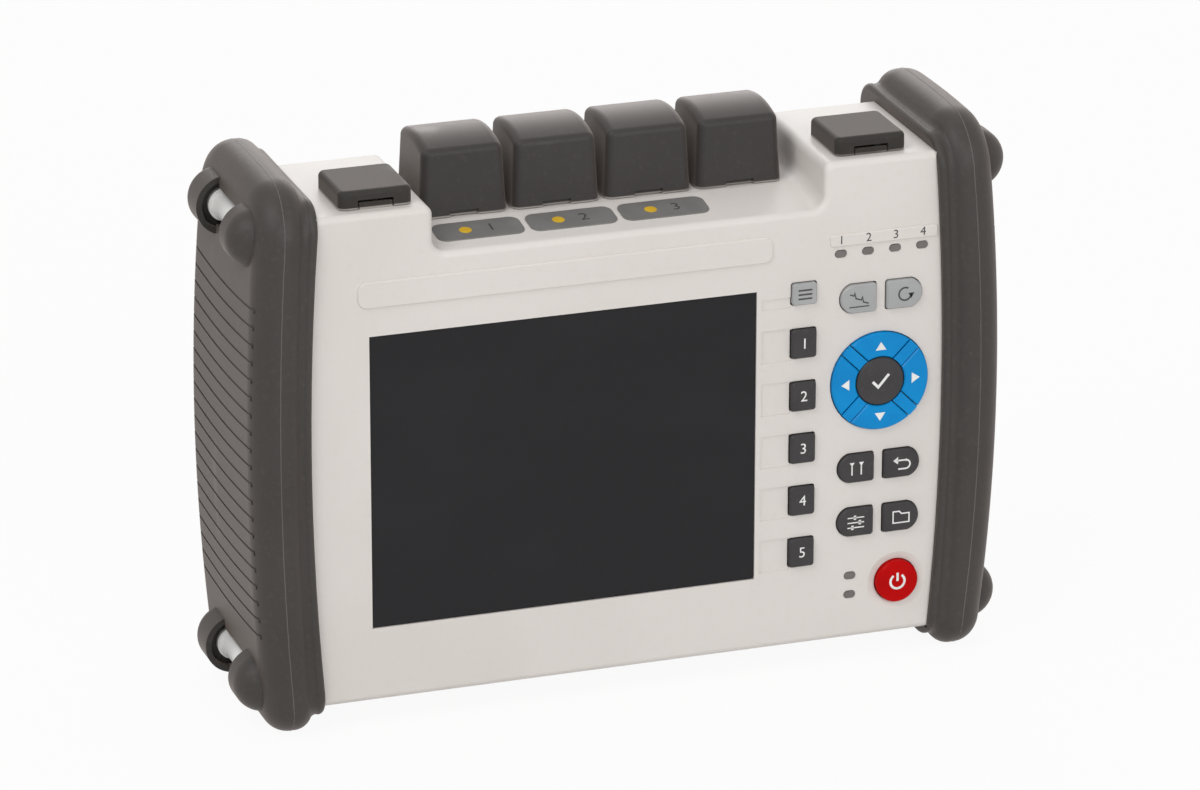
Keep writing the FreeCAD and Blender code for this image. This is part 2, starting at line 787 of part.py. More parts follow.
def make_rear_shell():
    rear_half = block("rear_half", (-s.shell_half - 5, s.shell_half + 5),
                      (s.shell_split + s.fit_gap / 3, s.shell_back + 5), (0, s.shell_top + 5))
    form = common("rear_form", outer, rear_half)
    half = s.shell_half - s.shell_wall
    hollow = block("rear_cavity", (-half, half), (s.shell_split - 1, inner_back),
                   (s.shell_bottom + s.shell_wall, saddle_inner))
    side = s.stand_half + 2
    stand_wall = block("stand_pocket_wall", (-side - 2.4, side + 2.4), (recess_floor - 2.2, inner_back + 0.5),
                       (s.stand_low - 4.4, s.stand_high + 5))
    wall = s.tray_wall
    gap = s.fit_gap
    tray = block("battery_tray", (-s.battery_half - gap - wall, s.battery_half + gap + wall),
                 (battery_y - gap - wall, inner_back + 0.5),
                  (s.battery_low - gap - wall, s.battery_high + gap + wall))
    shelled = cut("rear_hollow", form, hollow)
    bosses = [rod("door_boss_%d" % i, "y", (across, inner_back - 7, door_middle), 3.0, 7.5)
              for i, across in enumerate((-door_screw, door_screw))]
    added = fuse("rear_added", shelled, stand_wall, tray, *bosses)
    tools = [
        block("stand_recess", (-side, side), (recess_floor, s.shell_back + 1),
              (s.stand_low - 2, s.stand_high + 2.5)),
        block("stand_scoop", (-9, 9), (s.shell_back - 1.8, s.shell_back + 1), (s.stand_low - 8, s.stand_low)),
        block("battery_space", (-s.battery_half - gap, s.battery_half + gap),
              (battery_y - gap, s.shell_back + 1),
              (s.battery_low - gap, s.battery_high + gap)),
        block("door_recess", (-s.door_half, s.door_half), (s.shell_back - s.door_thick, s.shell_back + 1),
              (s.battery_low - s.door_lap, s.battery_high + s.door_lap)),
        rod("stand_bore", "x", (-side - 1.8, stand_axis_y, stand_axis_z), s.stand_pin + 0.03, 2 * side + 3.6),
    ]
    for i, (across, up) in enumerate(post_places):
        tools.append(rod("screw_way_%d" % i, "y", (across, inner_back - 1, up), s.screw_radius + 0.2, 6))
        tools.append(rod("screw_seat_%d" % i, "y", (across, s.shell_back - 1.5, up), s.screw_head + 0.3, 3))
    for i, across in enumerate((-door_screw, door_screw)):
        tools.append(rod("door_screw_way_%d" % i, "y", (across, inner_back - 6, door_middle), 1.05, 12))
    return finish("rear_shell", cut("rear_shell", added, *tools))


door_screw = (s.battery_half + s.fit_gap + s.door_half) / 2
door_middle = (s.battery_low + s.battery_high) / 2
make_front_shell()
make_rear_shell()


# ---------------------------------------------------------------- bumpers
def bowed_region(name, outer_mid, outer_end, inner_mid, inner_end, side):
    """Everything between two bowed curves seen from the front, one for each bumper."""
    top = s.bumper_height + 4
    bend_out = sagitta_radius(top + 4, outer_mid - outer_end)
    bend_in = sagitta_radius(top + 4, inner_mid - inner_end)
    if side > 0:
        outline = [(inner_end, -4), (outer_end, -4, bend_out), (outer_end, top), (inner_end, top, -bend_in)]
    else:
        outline = [(-outer_end, -4), (-inner_end, -4, -bend_in),
                   (-inner_end, top), (-outer_end, top, bend_out)]
    return prism(name, "xz", 45, 90, outline)


def side_slab(name, grow, low, high, bow, side):
    """Bowed rectangle seen from the side, with rounded corners, running through the bumper."""
    half = s.bumper_depth / 2 - bow - grow
    tall = high - low
    arch = sagitta_radius(tall, bow)
    start = 130 if side > 0 else -88
    slab = prism(name, "yz", start, 42, [
        (-half, low), (half, low, arch),
        (half, high, sagitta_radius(2 * half, bow / 2)), (-half, high, arch)])
    level = (as_dim(low).value + high.value) / 2
    round_edges(slab, name + "_top_corners", s.bumper_top_corner - grow,
                lambda e: along("x", 40)(e) and middle(e).z > level)
    return round_edges(slab, name + "_low_corners", s.bumper_low_corner - grow,
                       lambda e: along("x", 40)(e) and middle(e).z < level)


def rim(name, side, grow=0):
    """Rolled rim of the bumper; grow shrinks it for the core under the grooves."""
    slab = side_slab(name + "_slab", grow, grow, s.bumper_height - s.bumper_bow / 2 - grow,
                     s.bumper_bow, side)
    bow = bowed_region(name + "_bow", s.bumper_half_mid - grow, s.bumper_half_end - grow,
                       s.rim_half_mid, s.rim_half_end, side)
    form = common(name + "_form", slab, bow)
    middle_x = (s.rim_half_mid.value + s.bumper_half_end.value) / 2

    def outer_edges(edge):
        ends = abs(edge.Vertexes[0].Point.x - edge.Vertexes[-1].Point.x)
        return ends < 8 and abs(middle(edge).x) > middle_x

    def inner_edges(edge):
        ends = abs(edge.Vertexes[0].Point.x - edge.Vertexes[-1].Point.x)
        return ends < 7 and abs(middle(edge).x) < s.rim_half_mid.value + 1
    rolled = rounded(name + "_outer_round", form, s.rim_outer_round - grow, outer_edges)
    return rounded(name + "_inner_round", rolled, s.rim_inner_round, inner_edges)


def lap(name, side, proud, outer_mid, outer_end):
    """Plate that laps over the face, the top and the underside of the housing by the same height."""
    less = s.flange_proud - proud
    half_deep = s.shell_front + proud
    start = 130 if side > 0 else -88
    slab = prism(name + "_slab", "yz", start, 42, rectangle(
        -half_deep, half_deep, s.shell_bottom - s.flange_lap + less, s.shell_top + s.flange_lap - less))
    round_edges(slab, name + "_corners", s.flange_corner, along("x", 40))
    bow = bowed_region(name + "_bow", outer_mid, outer_end, s.flange_half_mid, s.flange_half_end, side)
    return common(name, slab, bow)


def flange(name, side):
    """Thin lip of the bumper: a round bead with a valley between it and the rolled rim."""
    base = lap(name + "_base", side, s.flange_proud - s.valley_deep, s.rim_half_mid + 8, s.rim_half_end + 8)
    bead = lap(name + "_bead", side, s.flange_proud, s.rim_half_mid - s.valley_wide,
               s.rim_half_end - s.valley_wide)

    def long_edges(edge):
        return abs(edge.Vertexes[0].Point.x - edge.Vertexes[-1].Point.x) < 0.5 * edge.Length
    return fuse(name, base, rounded(name + "_round", bead, s.flange_round, long_edges))


def groove_strip(name, side):
    """One groove seen from the side: a sagging arc with a short hook down at each end."""
    half = s.groove_half
    wide = s.groove_width
    low = s.groove_first
    bend = sagitta_radius(2 * half, s.groove_sag)
    start = 130 if side > 0 else -107
    body = prism(name, "yz", start, 23, [
        (-half, low - s.groove_hook), (-half + wide, low - s.groove_hook),
        (-half + wide, low - wide, bend), (half - wide, low - wide), (half - wide, low - s.groove_hook),
        (half, low - s.groove_hook), (half, low, -bend), (-half, low)])
    doc.recompute()
    pattern = body.newObject("PartDesign::LinearPattern", name + "_row")
    pattern.Originals = [body.Tip]
    axis = next(f for f in body.Origin.OriginFeatures if f.Role == "Z_Axis")
    pattern.Direction = (axis, [""])
    pattern.setExpression("Length", ((s.groove_count - 1) * s.groove_pitch).text)
    pattern.setExpression("Occurrences", s.groove_count.text)
    body.AllowCompound = True
    body.Tip = pattern
    return body


def ear(name, side, along_y, up):
    """Knob that holds one end of a strap bar; its end that faces away from the bar is rounded."""
    knob = rod(name, "y", (side * s.ear_half, along_y, up), s.ear_radius, s.ear_length)
    ahead = as_dim(along_y).value < 0

    def far_edge(edge):
        at_front = middle(edge).y < as_dim(along_y).value + 0.01
        return edge.Curve.TypeId == "Part::GeomCircle" and at_front == ahead
    return rounded(name + "_round", knob, s.ear_dome if ahead else s.ear_round, far_edge)


def make_bumper(name, side):
    core = rim(name + "_core", side, s.groove_deep)
    grooves = cut(name + "_grooves", groove_strip(name + "_strip", side), core)
    rolled = cut(name + "_rolled", rim(name + "_rim", side), grooves)
    ears = []
    tools = [housing(name + "_seat", s.fit_gap)]
    for level, up in (("low", s.ear_low), ("high", s.ear_high)):
        ears.append(ear("%s_front_ear_%s" % (name, level), side, -s.front_ear, up))
        ears.append(ear("%s_back_ear_%s" % (name, level), side, s.back_ear, up))
        tools.append(rod("%s_ear_well_%s" % (name, level), "y", (side * s.ear_half, s.back_ear - 0.01, up),
                         s.ear_well, s.ear_well_deep + 0.01))
        bar_start = -s.front_ear + s.ear_length - s.strap_bar_seat
        bar_end = s.back_ear + s.strap_bar_seat
        tools.append(rod("%s_bar_way_%s" % (name, level), "y", (side * s.ear_half, bar_start, up),
                         s.strap_bar_radius + s.fit_gap, bar_end - bar_start))
        tools.append(rod("%s_strap_way_%s" % (name, level), "y",
                         (side * s.ear_half, -s.front_ear + s.ear_length, up),
                         s.strap_collar_radius + 1, s.back_ear + s.front_ear - s.ear_length))
    whole = fuse(name + "_whole", rolled, flange(name + "_flange", side), *ears)
    return finish(name, cut(name, whole, *tools))


def mirrored(name, thing):
    """The same piece on the other side of the YZ plane."""
    twin = doc.addObject("Part::Mirroring", name)
    twin.Source = thing
    twin.Normal = V(1, 0, 0)
    return finish(name, twin)


def make_strap_bars(name, side):
    bars = []
    for level, up in (("low", s.ear_low), ("high", s.ear_high)):
        start = -s.front_ear + s.ear_length - s.strap_bar_seat + s.fit_gap
        stop = s.back_ear + s.strap_bar_seat - s.fit_gap
        bar = rod("%s_bar_%s" % (name, level), "y", (side * s.ear_half, start, up), s.strap_bar_radius,
                  stop - start)
        collar = rod("%s_collar_%s" % (name, level), "y",
                     (side * s.ear_half, s.back_ear + s.ear_well_deep - s.strap_collar_thick - s.fit_gap, up),
                     s.strap_collar_radius, s.strap_collar_thick)
        bars.append(fuse("%s_%s" % (name, level), bar, collar))
    return finish(name, group(name, *bars))


mirrored("left_bumper", make_bumper("right_bumper", 1))
mirrored("left_strap_bars", make_strap_bars("right_strap_bars", 1))


# ---------------------------------------------------------------- display
def make_display():
    gap = s.fit_gap
    front = s.shell_front - s.window_set_back
    lens_body = prism("window_glass", "xz", front, s.window_thick, rectangle(
        s.window_left + gap, s.window_right - gap, s.window_low + gap, s.window_high - gap))
    finish("display_window", round_edges(lens_body, "window_glass_round", 0.8, along("y", 0.5)))

    back = inner_front - s.gasket_thick
    left = s.window_left - 2
    right = s.window_right + 2
    low = s.window_low - 2
    high = s.window_high + 2
    ledge = s.window_ledge
    seal = block("gasket_outer", (left, right), (-inner_front, -back), (low, high))
    clear = block("gasket_inner", (s.window_left + ledge, s.window_right - ledge),
                  (-inner_front - 1, -back + 1),
                  (s.window_low + ledge, s.window_high - ledge))
    finish("display_gasket", cut("display_gasket", seal, clear))

    frame = prism("display_frame", "xz", back, s.display_deep - 2,
                  rectangle(left - 1, right + 1, low - 1, high + 1))
    round_edges(frame, "display_frame_round", 1.5, along("y", 1))
    lamp = prism("display_lamp", "xz", back - s.display_deep + 2.01, 2.01, rectangle(
        left + 6, right - 14, low + 8, high - 8))
    finish("display_module", fuse("display_module", frame, lamp))


make_display()


# ---------------------------------------------------------------- keypad
key_front = s.shell_front + s.key_proud
cap_deep = key_front - key_back
skirt_front = key_back + s.key_skirt - 0.1


def key_rims(edge):
    """Edges around a key's front face."""
    return all(abs(v.Point.y + key_front.value) < 0.001 for v in edge.Vertexes)


def make_key(name):
    body = prism(name, "xz", key_front, cap_deep, key_outline(name))
    round_edges(body, name + "_corners", s.key_round, along("y", 1))
    thicken(body, name + "_skirt", "xz", key_back + s.key_skirt - 0.1, s.key_skirt - 0.1,
            key_outline(name, s.key_skirt))
    return finish(name, bevel_edges(body, name + "_rim", s.key_edge, key_rims))


for key_name in list(square_keys) + list(pair_keys):
    make_key(key_name)


def round_key(name, across, up, radius):
    """Round key with a skirt, turned about its own axis."""
    place = (across, -key_front, up)
    face = bevelled(name + "_face", rod(name + "_cap", "y", place, radius, cap_deep), s.key_edge,
                    lambda e: middle(e).y < -key_front.value + 0.01)
    skirt = rod(name + "_skirt", "y", (across, -skirt_front, up), radius + s.key_skirt,
                skirt_front - key_back)
    return finish(name, fuse(name, face, skirt))


round_key("power_key", s.power_across, s.power_up, s.power_radius)
pad_inner = s.ok_radius + s.run_gap
pad_outer = s.pad_radius
ring_face = s.shell_front + s.key_proud * 0.8


def make_pad():
    """Round pad: a centre key, four arrow keys and the frame whose spokes part them."""
    centre = (s.pad_across, s.pad_up)
    round_key("ok_key", centre[0], centre[1], s.ok_radius)
    frame_back = key_back - s.key_travel - s.run_gap + 0.05
    deep = ring_face - frame_back
    spokes = []
    for i, turn in enumerate((45, 135)):
        half = s.spoke_width / 2
        bar = doc.addObject("Part::Box", "spoke_%d" % i)
        tie(bar, Length=2 * pad_outer + 4, Width=deep, Height=s.spoke_width)
        spin = FreeCAD.Rotation(V(0, 1, 0), turn)
        bar.Placement = FreeCAD.Placement(V(), spin)
        shift = spin.multVec(V(1, 0, 0))
        lift = spin.multVec(V(0, 0, 1))
        seat(bar, centre[0] - (pad_outer + 2) * shift.x - half * lift.x, -ring_face,
             centre[1] - (pad_outer + 2) * shift.z - half * lift.z)
        spokes.append(bar)
    place = (centre[0], -ring_face, centre[1])
    disc = rod("pad_disc", "y", place, pad_outer, deep)
    bored = rod("pad_centre", "y", (centre[0], -ring_face - 1, centre[1]), pad_inner, deep + 2)
    clear_front = skirt_front + s.key_travel + s.run_gap
    skirt_way = rod("pad_skirt_way", "y", (centre[0], -clear_front, centre[1]),
                    pad_inner + s.key_skirt + s.run_gap, clear_front)
    foot_place = (centre[0], -frame_back - s.hoop_deep, centre[1])
    hoop_inner = pad_outer + s.run_gap
    foot = rod("pad_foot", "y", foot_place, hoop_inner + s.hoop_wide / 2, s.hoop_deep)
    cross = common("pad_cross", fuse("pad_reach", disc, foot), fuse("pad_spokes", *spokes))
    hoop = cut("pad_hoop", rod("pad_hoop_disc", "y", foot_place, hoop_inner + s.hoop_wide, s.hoop_deep),
               rod("pad_hoop_hole", "y", (centre[0], -frame_back - s.hoop_deep - 1, centre[1]),
                   hoop_inner, s.hoop_deep + 2))
    finish("arrow_frame", cut("arrow_frame", fuse("pad_frame", cross, hoop), bored, skirt_way))

    names = ("arrow_key_right", "arrow_key_up", "arrow_key_left", "arrow_key_down")
    keep_half = s.spoke_width / 2 + s.arrow_clear
    for i, name in enumerate(names):
        ring = rod(name + "_disc", "y", (centre[0], -key_front, centre[1]), pad_outer, key_front - key_back)
        hole = rod(name + "_hole", "y", (centre[0], -key_front - 1, centre[1]),
                   pad_inner, key_front - key_back + 2)
        skirt_hole = rod(name + "_skirt_hole", "y", (centre[0], -clear_front, centre[1]),
                         pad_inner + s.key_skirt + s.run_gap, clear_front - key_back + 1)
        wedge = arrow_wedge(name + "_wedge", i, keep_half)
        sector = cut(name + "_sector", common(name + "_form", ring, wedge), hole, skirt_hole)
        finish(name, bevelled(name, sector, s.key_edge, key_rims))


def arrow_wedge(name, quarter, keep):
    """Quarter of the pad between two spokes, moved out so that each spoke keeps its gap."""
    root = keep * 1.41421356
    far = 2 * s.pad_radius
    x = s.pad_across
    z = s.pad_up
    ways = ((1, 0), (0, 1), (-1, 0), (0, -1))
    u, v = ways[quarter]
    corners = [(x + root * u, z + root * v),
               (x + (root + far) * u + far * v, z + (root + far) * v - far * u),
               (x + (root + far) * u - far * v, z + (root + far) * v + far * u)]
    return prism(name, "xz", key_front + 1, cap_deep + 2, corners)


make_pad()


def make_boards():
    """Rubber mat behind the keys, its circuit board, and the main board."""
    left = s.soft_left - 2.5
    right = s.pair_right + 1.8
    low = s.power_up - s.power_radius - 1.5
    high = s.menu_middle + s.menu_tall / 2 + 1.5
    mat = block("mat_sheet", (left, right), (-mat_front, -board_front), (low, high))
    holes = [rod("mat_hole_%d" % i, "y", (across, -mat_front - 1, up), s.board_post + 0.3, s.mat_thick + 2)
             for i, (across, up) in enumerate(board_posts)]
    holes.append(block("mat_slot", (s.charge_across - 3, s.charge_across + 3),
                       (-mat_front - 1, -board_front + 1),
                       (low - 1, s.charge_low + s.charge_pitch + 2.2)))
    finish("key_mat", cut("key_mat", mat, *holes))

    edge = s.lens_row + s.lens_tall / 2 + 3
    board = block("key_board_sheet", (left, right),
                  (-board_front, -board_front + s.board_thick), (low - 1, edge))
    finish("key_board", board)

    gap = 1.2
    half = s.shell_half - s.shell_wall - gap
    plate = block("main_sheet", (-half, half), (-s.board_plane, -s.board_plane + s.board_thick),
                  (s.shell_bottom + s.shell_wall + gap, saddle_inner - gap))
    ways = [rod("main_hole_%d" % i, "y", (across, -s.board_plane - 1, up), s.post_neck + s.fit_gap, 4)
            for i, (across, up) in enumerate(post_places)]
    finish("main_board", cut("main_board", plate, *ways))


make_boards()


def make_lenses(name, places):
    front = s.shell_front + 0.2
    pills = [lens("%s_%d" % (name, i), across, up, front, front - board_front, 0)
             for i, (across, up) in enumerate(places)]
    finish(name, group(name, *pills))


make_lenses("status_lenses", [(across, s.lens_row) for across in lens_places])
make_lenses("charge_lenses", [(s.charge_across, s.charge_low + s.charge_pitch * i) for i in range(2)])


# ---------------------------------------------------------------- inner modules
def make_inside():
    board_back = s.board_plane - s.board_thick
    case = prism("engine_case", "yz", -s.engine_right, s.engine_wide, rectangle(
        -board_back, -board_back + s.engine_deep, s.engine_low, s.engine_low + s.engine_tall))
    finish("optical_engine", round_edges(case, "engine_round", 3, lambda e: (
        along("x", 20)(e) and middle(e).y > -board_back.value + 1)))

    spool = doc.addObject("PartDesign::Body", "fibre_spool")
    sketch = new_sketch(spool, "spool_profile", "xy", 0)
    back = -board_back
    draw(sketch, [(s.spool_radius - 14, back), (s.spool_radius, back), (s.spool_radius, back + 1.4),
                  (s.spool_radius - 4, back + 1.4), (s.spool_radius - 4, back + s.spool_deep - 1.4),
                  (s.spool_radius, back + s.spool_deep - 1.4), (s.spool_radius, back + s.spool_deep),
                  (s.spool_radius - 14, back + s.spool_deep)])
    turn = spool.newObject("PartDesign::Revolution", "spool_turn")
    turn.Profile = sketch
    turn.ReferenceAxis = (sketch, ["V_Axis"])
    turn.Angle = 360
    seat(spool, s.spool_across, 0, s.spool_up)
    finish("fibre_spool", spool)

    pack = prism("battery_pack", "yz", s.battery_half, 2 * s.battery_half, rectangle(
        battery_y, battery_y + s.battery_deep, s.battery_low, s.battery_high))
    finish("battery_pack", round_edges(pack, "battery_round", 2.5, along("x", 20)))


make_inside()


def make_door():
    gap = s.fit_gap
    low = s.battery_low - s.door_lap
    high = s.battery_high + s.door_lap
    plate = prism("battery_door_plate", "xz", -s.shell_back + s.door_thick, s.door_thick, rectangle(
        -s.door_half + gap, s.door_half - gap, low + gap, high - gap))
    round_edges(plate, "battery_door_round", 0.8, along("y", 1))
    tools = []
    for i, across in enumerate((-door_screw, door_screw)):
        tools.append(rod("door_way_%d" % i, "y", (across, s.shell_back - s.door_thick - 1, door_middle),
                         1.2, 6))
        tools.append(rod("door_seat_%d" % i, "y", (across, s.shell_back - 0.9, door_middle), 2.3, 2))
    for i in range(3):
        tools.append(block("door_rib_%d" % i, (-18, 18), (s.shell_back - 0.5, s.shell_back + 1),
                           (high - 10 + i * 2.4, high - 9 + i * 2.4)))
    finish("battery_door", cut("battery_door", plate, *tools))
    screws = []
    for i, across in enumerate((-door_screw, door_screw)):
        screws.append(screw("door_screw_%d" % i, across, door_middle, s.shell_back - 0.9, 2.0, 0.8, 1.0, 6))
    finish("battery_door_screws", group("battery_door_screws", *screws))


def screw(name, across, up, seat_y, head, head_thick, shank, length):
    """Pan head screw with a cross recess, driven from the back."""
    top = rod(name + "_head", "y", (across, seat_y, up), head, head_thick)
    stem = rod(name + "_shank", "y", (across, seat_y - length, up), shank, length)
    bar = head * 0.6
    cross = [block(name + "_slot_x", (across - bar, across + bar), (seat_y + head_thick * 0.4, seat_y + 3),
                   (up - 0.25, up + 0.25)),
             block(name + "_slot_z", (across - 0.25, across + 0.25), (seat_y + head_thick * 0.4, seat_y + 3),
                   (up - bar, up + bar))]
    return cut(name, fuse(name + "_form", top, stem), *cross)


make_door()
finish("housing_screws", group("housing_screws", *[
    screw("housing_screw_%d" % i, across, up, s.shell_back - 1.5, s.screw_head, 1.4, s.screw_radius, 15)
    for i, (across, up) in enumerate(post_places)]))


# ---------------------------------------------------------------- rear stand
def make_stand():
    half = s.stand_half - s.run_gap
    face = s.shell_back - 0.2
    back_plane = face - s.stand_thick
    plate = prism("stand_plate", "xz", -face + s.stand_thick, s.stand_thick, [
        (-half + 4, s.stand_low), (half - 4, s.stand_low), (half, s.stand_low + 10), (half, stand_axis_z),
        (-half, stand_axis_z), (-half, s.stand_low + 10)])
    round_edges(plate, "stand_corners", 3,
                lambda e: along("y", 1)(e) and middle(e).z < stand_axis_z.value - 1)
    knuckle = rod("stand_knuckle", "x", (-half, stand_axis_y, stand_axis_z), s.stand_knuckle, 2 * half)
    rib_gap = 6
    wide = (2 * half - 7 * rib_gap) / 4
    tools = []
    for i in range(4):
        start = -half + 1.5 * rib_gap + (wide + 1.33 * rib_gap) * i
        tools.append(block("stand_pocket_%d" % i, (start, start + wide), (back_plane - 1, back_plane + 1.4),
                           (s.stand_low + 16, stand_axis_z - 8)))
    tools.append(rod("stand_pin_way", "x", (-half - 1, stand_axis_y, stand_axis_z), s.stand_pin + s.pin_gap,
                     2 * half + 2))
    finish("rear_stand", cut("rear_stand", fuse("stand_form", plate, knuckle), *tools))
    reach = s.stand_half + 2 + 1.7
    pins = [rod("stand_pin_left", "x", (-reach, stand_axis_y, stand_axis_z), s.stand_pin, s.stand_pin_long),
            rod("stand_pin_right", "x", (reach - s.stand_pin_long, stand_axis_y, stand_axis_z), s.stand_pin,
                s.stand_pin_long)]
    finish("stand_pins", group("stand_pins", *pins))


make_stand()


# ---------------------------------------------------------------- port caps
def cap_form(name, across, shrink):
    """Tapered box under an arched top; shrink makes the hollow inside it."""
    low = cap_bottom - (1 if as_dim(shrink).value else 0)
    front = -s.cap_front + shrink
    back = s.cap_back - shrink
    high = s.cap_high - s.cap_drop - shrink
    deep = s.cap_front + s.cap_back - 2 * shrink
    lean = s.cap_taper
    half = s.cap_wide / 2 - shrink
    side = prism(name + "_side", "yz", across + half + 1, 2 * half + 2, [
        (front, low), (back, low), (back - lean / 2, high, sagitta_radius(deep, s.cap_drop)),
        (front + lean, high - s.cap_drop / 3)])
    top = high + s.cap_drop + 2
    width = prism(name + "_width", "xz", -front + 1, deep + 2, [
        (across - half, low), (across + half, low), (across + half - lean, top), (across - half + lean, top)])
    return common(name, side, width)


def cap_edges(edge):
    return middle(edge).z > cap_bottom.value + 0.5


def make_cap(number, across):
    name = "port_cap_%d" % number
    shell = rounded(name + "_form", cap_form(name + "_block", across, 0), s.cap_round, cap_edges)
    hollow = cap_form(name + "_hollow", across, s.cap_wall)
    web = block(name + "_web", (across - s.knuckle_long / 2, across + s.knuckle_long / 2),
                (s.cap_back - 1, hinge_y), (hinge_z - s.knuckle_radius, hinge_z + s.knuckle_radius))
    knuckle = rod(name + "_knuckle", "x", (across - s.knuckle_long / 2, hinge_y, hinge_z), s.knuckle_radius,
                  s.knuckle_long)
    bore = rod(name + "_bore", "x", (across - s.knuckle_long, hinge_y, hinge_z), s.hinge_pin + s.pin_gap,
               2 * s.knuckle_long)
    notch = block(name + "_notch", (across - s.cap_notch / 2, across + s.cap_notch / 2),
                  (-s.cap_front - 1, -s.cap_front + s.cap_wall - 0.8), (cap_bottom - 1, cap_bottom + 1.6))
    return finish(name, cut(name, fuse(name + "_whole", shell, web, knuckle), hollow, bore, notch))


for cap_number, cap_across in enumerate(cap_places, start=1):
    make_cap(cap_number, cap_across)
cap_pin_half = s.knuckle_long / 2 + s.run_gap + s.lug_thick
finish("port_cap_pins", group("port_cap_pins", *[
    rod("cap_pin_%d" % i, "x", (across - cap_pin_half, hinge_y, hinge_z), s.hinge_pin, 2 * cap_pin_half)
    for i, across in enumerate(cap_places)]))


# ---------------------------------------------------------------- service caps
def make_lid(name, across):
    half = s.lid_wide / 2
    top = s.shell_top + s.lid_tall
    form = prism(name + "_block", "xy", top, top - lid_bottom, [
        (across - half, -s.lid_front), (across + half, -s.lid_front),
        (across + half, -s.lid_back), (across - half, -s.lid_back)])
    round_edges(form, name + "_corners", s.lid_round, along("z", 1))
    round_edges(form, name + "_top", s.lid_round * 0.7, lambda e: middle(e).z > top.value - 0.01)
    wall = s.lid_wall
    hollow = block(name + "_hollow", (across - half + wall, across + half - wall),
                   (-s.lid_front + wall, -s.lid_back - wall), (lid_bottom - 1, lid_bottom + s.lid_hollow))
    notch = block(name + "_notch", (across - s.lid_notch / 2, across + s.lid_notch / 2),
                  (-s.lid_front - 1, -s.lid_front + wall + 0.1),
                  (lid_bottom - 1, lid_bottom + s.lid_notch_tall))
    long = s.lid_knuckle_long
    web = block(name + "_web", (across - long / 2, across + long / 2), (-s.lid_back - 2, lid_hinge_y),
                (lid_hinge_z - s.lid_knuckle, lid_hinge_z + s.lid_knuckle))
    knuckle = rod(name + "_knuckle", "x", (across - long / 2, lid_hinge_y, lid_hinge_z), s.lid_knuckle, long)
    bore = rod(name + "_bore", "x", (across - long, lid_hinge_y, lid_hinge_z), s.hinge_pin + s.pin_gap,
               2 * long)
    return finish(name, cut(name, fuse(name + "_whole", form, web, knuckle), hollow, notch, bore))


for side_name, lid_across in (("left", -s.lid_across), ("right", s.lid_across)):
    make_lid(side_name + "_service_cap", lid_across)
lid_pin_half = s.lid_knuckle_long / 2 + s.run_gap + s.lid_lug_thick
finish("service_cap_pins", group("service_cap_pins", *[
    rod("lid_pin_%d" % i, "x", (across - lid_pin_half, lid_hinge_y, lid_hinge_z), s.hinge_pin,
        2 * lid_pin_half)
    for i, across in enumerate((-s.lid_across, s.lid_across))]))


# ---------------------------------------------------------------- connectors
def make_adapter(number, across):
    """Optical adapter: square flange on the floor, threaded barrel and a ferrule bore."""
    name = "adapter_%d" % number
    floor = s.saddle_floor
    plate = block(name + "_flange", (across - s.flange_wide / 2, across + s.flange_wide / 2),
                  (adapter_y - 6.5, adapter_y + 6.5), (floor, floor + 1.8))
    barrel = rod(name + "_barrel", "z", (across, adapter_y, floor), s.adapter_radius, s.adapter_tall)
    tail = rod(name + "_tail", "z", (across, adapter_y, saddle_inner - 1), s.adapter_radius, 10)
    bore = rod(name + "_bore", "z", (across, adapter_y, floor + s.adapter_tall - s.ferrule_deep),
               s.ferrule_bore,
               s.ferrule_deep + 1)
    return cut(name, fuse(name + "_form", plate, barrel, tail), bore)


finish("port_adapters", group("port_adapters", *[
    make_adapter(i, across) for i, across in enumerate(cap_places)]))


def make_sockets():
    top = s.shell_top
    low = s.shell_top - s.socket_deep
    left = -s.lid_across
    shell = block("data_shell", (left - 7.5, left + 7.5), (socket_y - 4.3, socket_y + 4.3), (low, top))
    mouth = block("data_mouth", (left - 6.2, left + 6.2), (socket_y - 2.9, socket_y + 2.9),
                  (low + 3, top + 1))
    tongue = block("data_tongue", (left - 5.4, left + 5.4), (socket_y - 0.2, socket_y + 1.8),
                   (low + 2, top - 1))
    finish("data_socket", fuse("data_socket", cut("data_case", shell, mouth), tongue))
    right = s.lid_across
    ring = rod("power_case", "z", (right, socket_y, low), 5.5, s.socket_deep)
    well = rod("power_well", "z", (right, socket_y, low + 3), 3.1, s.socket_deep)
    pin = rod("power_pin", "z", (right, socket_y, low + 2), 1.05, s.socket_deep - 3.5)
    finish("power_socket", fuse("power_socket", cut("power_ring", ring, well), pin))


make_sockets()


def make_labels():
    """Blank plates on the slope ahead of the first three caps."""
    rise = ledge_rise
    front = s.label_middle + s.label_deep / 2
    back = s.label_middle - s.label_deep / 2
    lip = s.saddle_lip
    face = s.shell_front
    thick = s.label_thick
    half = s.label_wide / 2
    plates = []
    for i in range(3):
        across = cap_places[i] + s.label_shift
        slab = prism("label_slab_%d" % i, "yz", across + half + 1, s.label_wide + 2, [
            (-front - 1, lip + (face - front - 1) * rise), (-back + 1, lip + (face - back + 1) * rise),
            (-back + 1, lip + (face - back + 1) * rise + thick),
            (-front - 1, lip + (face - front - 1) * rise + thick)])
        shape = prism("label_shape_%d" % i, "xy", s.saddle_floor + 1, s.saddle_floor - lip + 2,
                      rectangle(across - half, across + half, -front, -back))
        round_edges(shape, "label_round_%d" % i, s.label_round, along("z", 1))
        plates.append(common("label_%d" % i, shape, slab))
    finish("port_labels", group("port_labels", *plates))


make_labels()


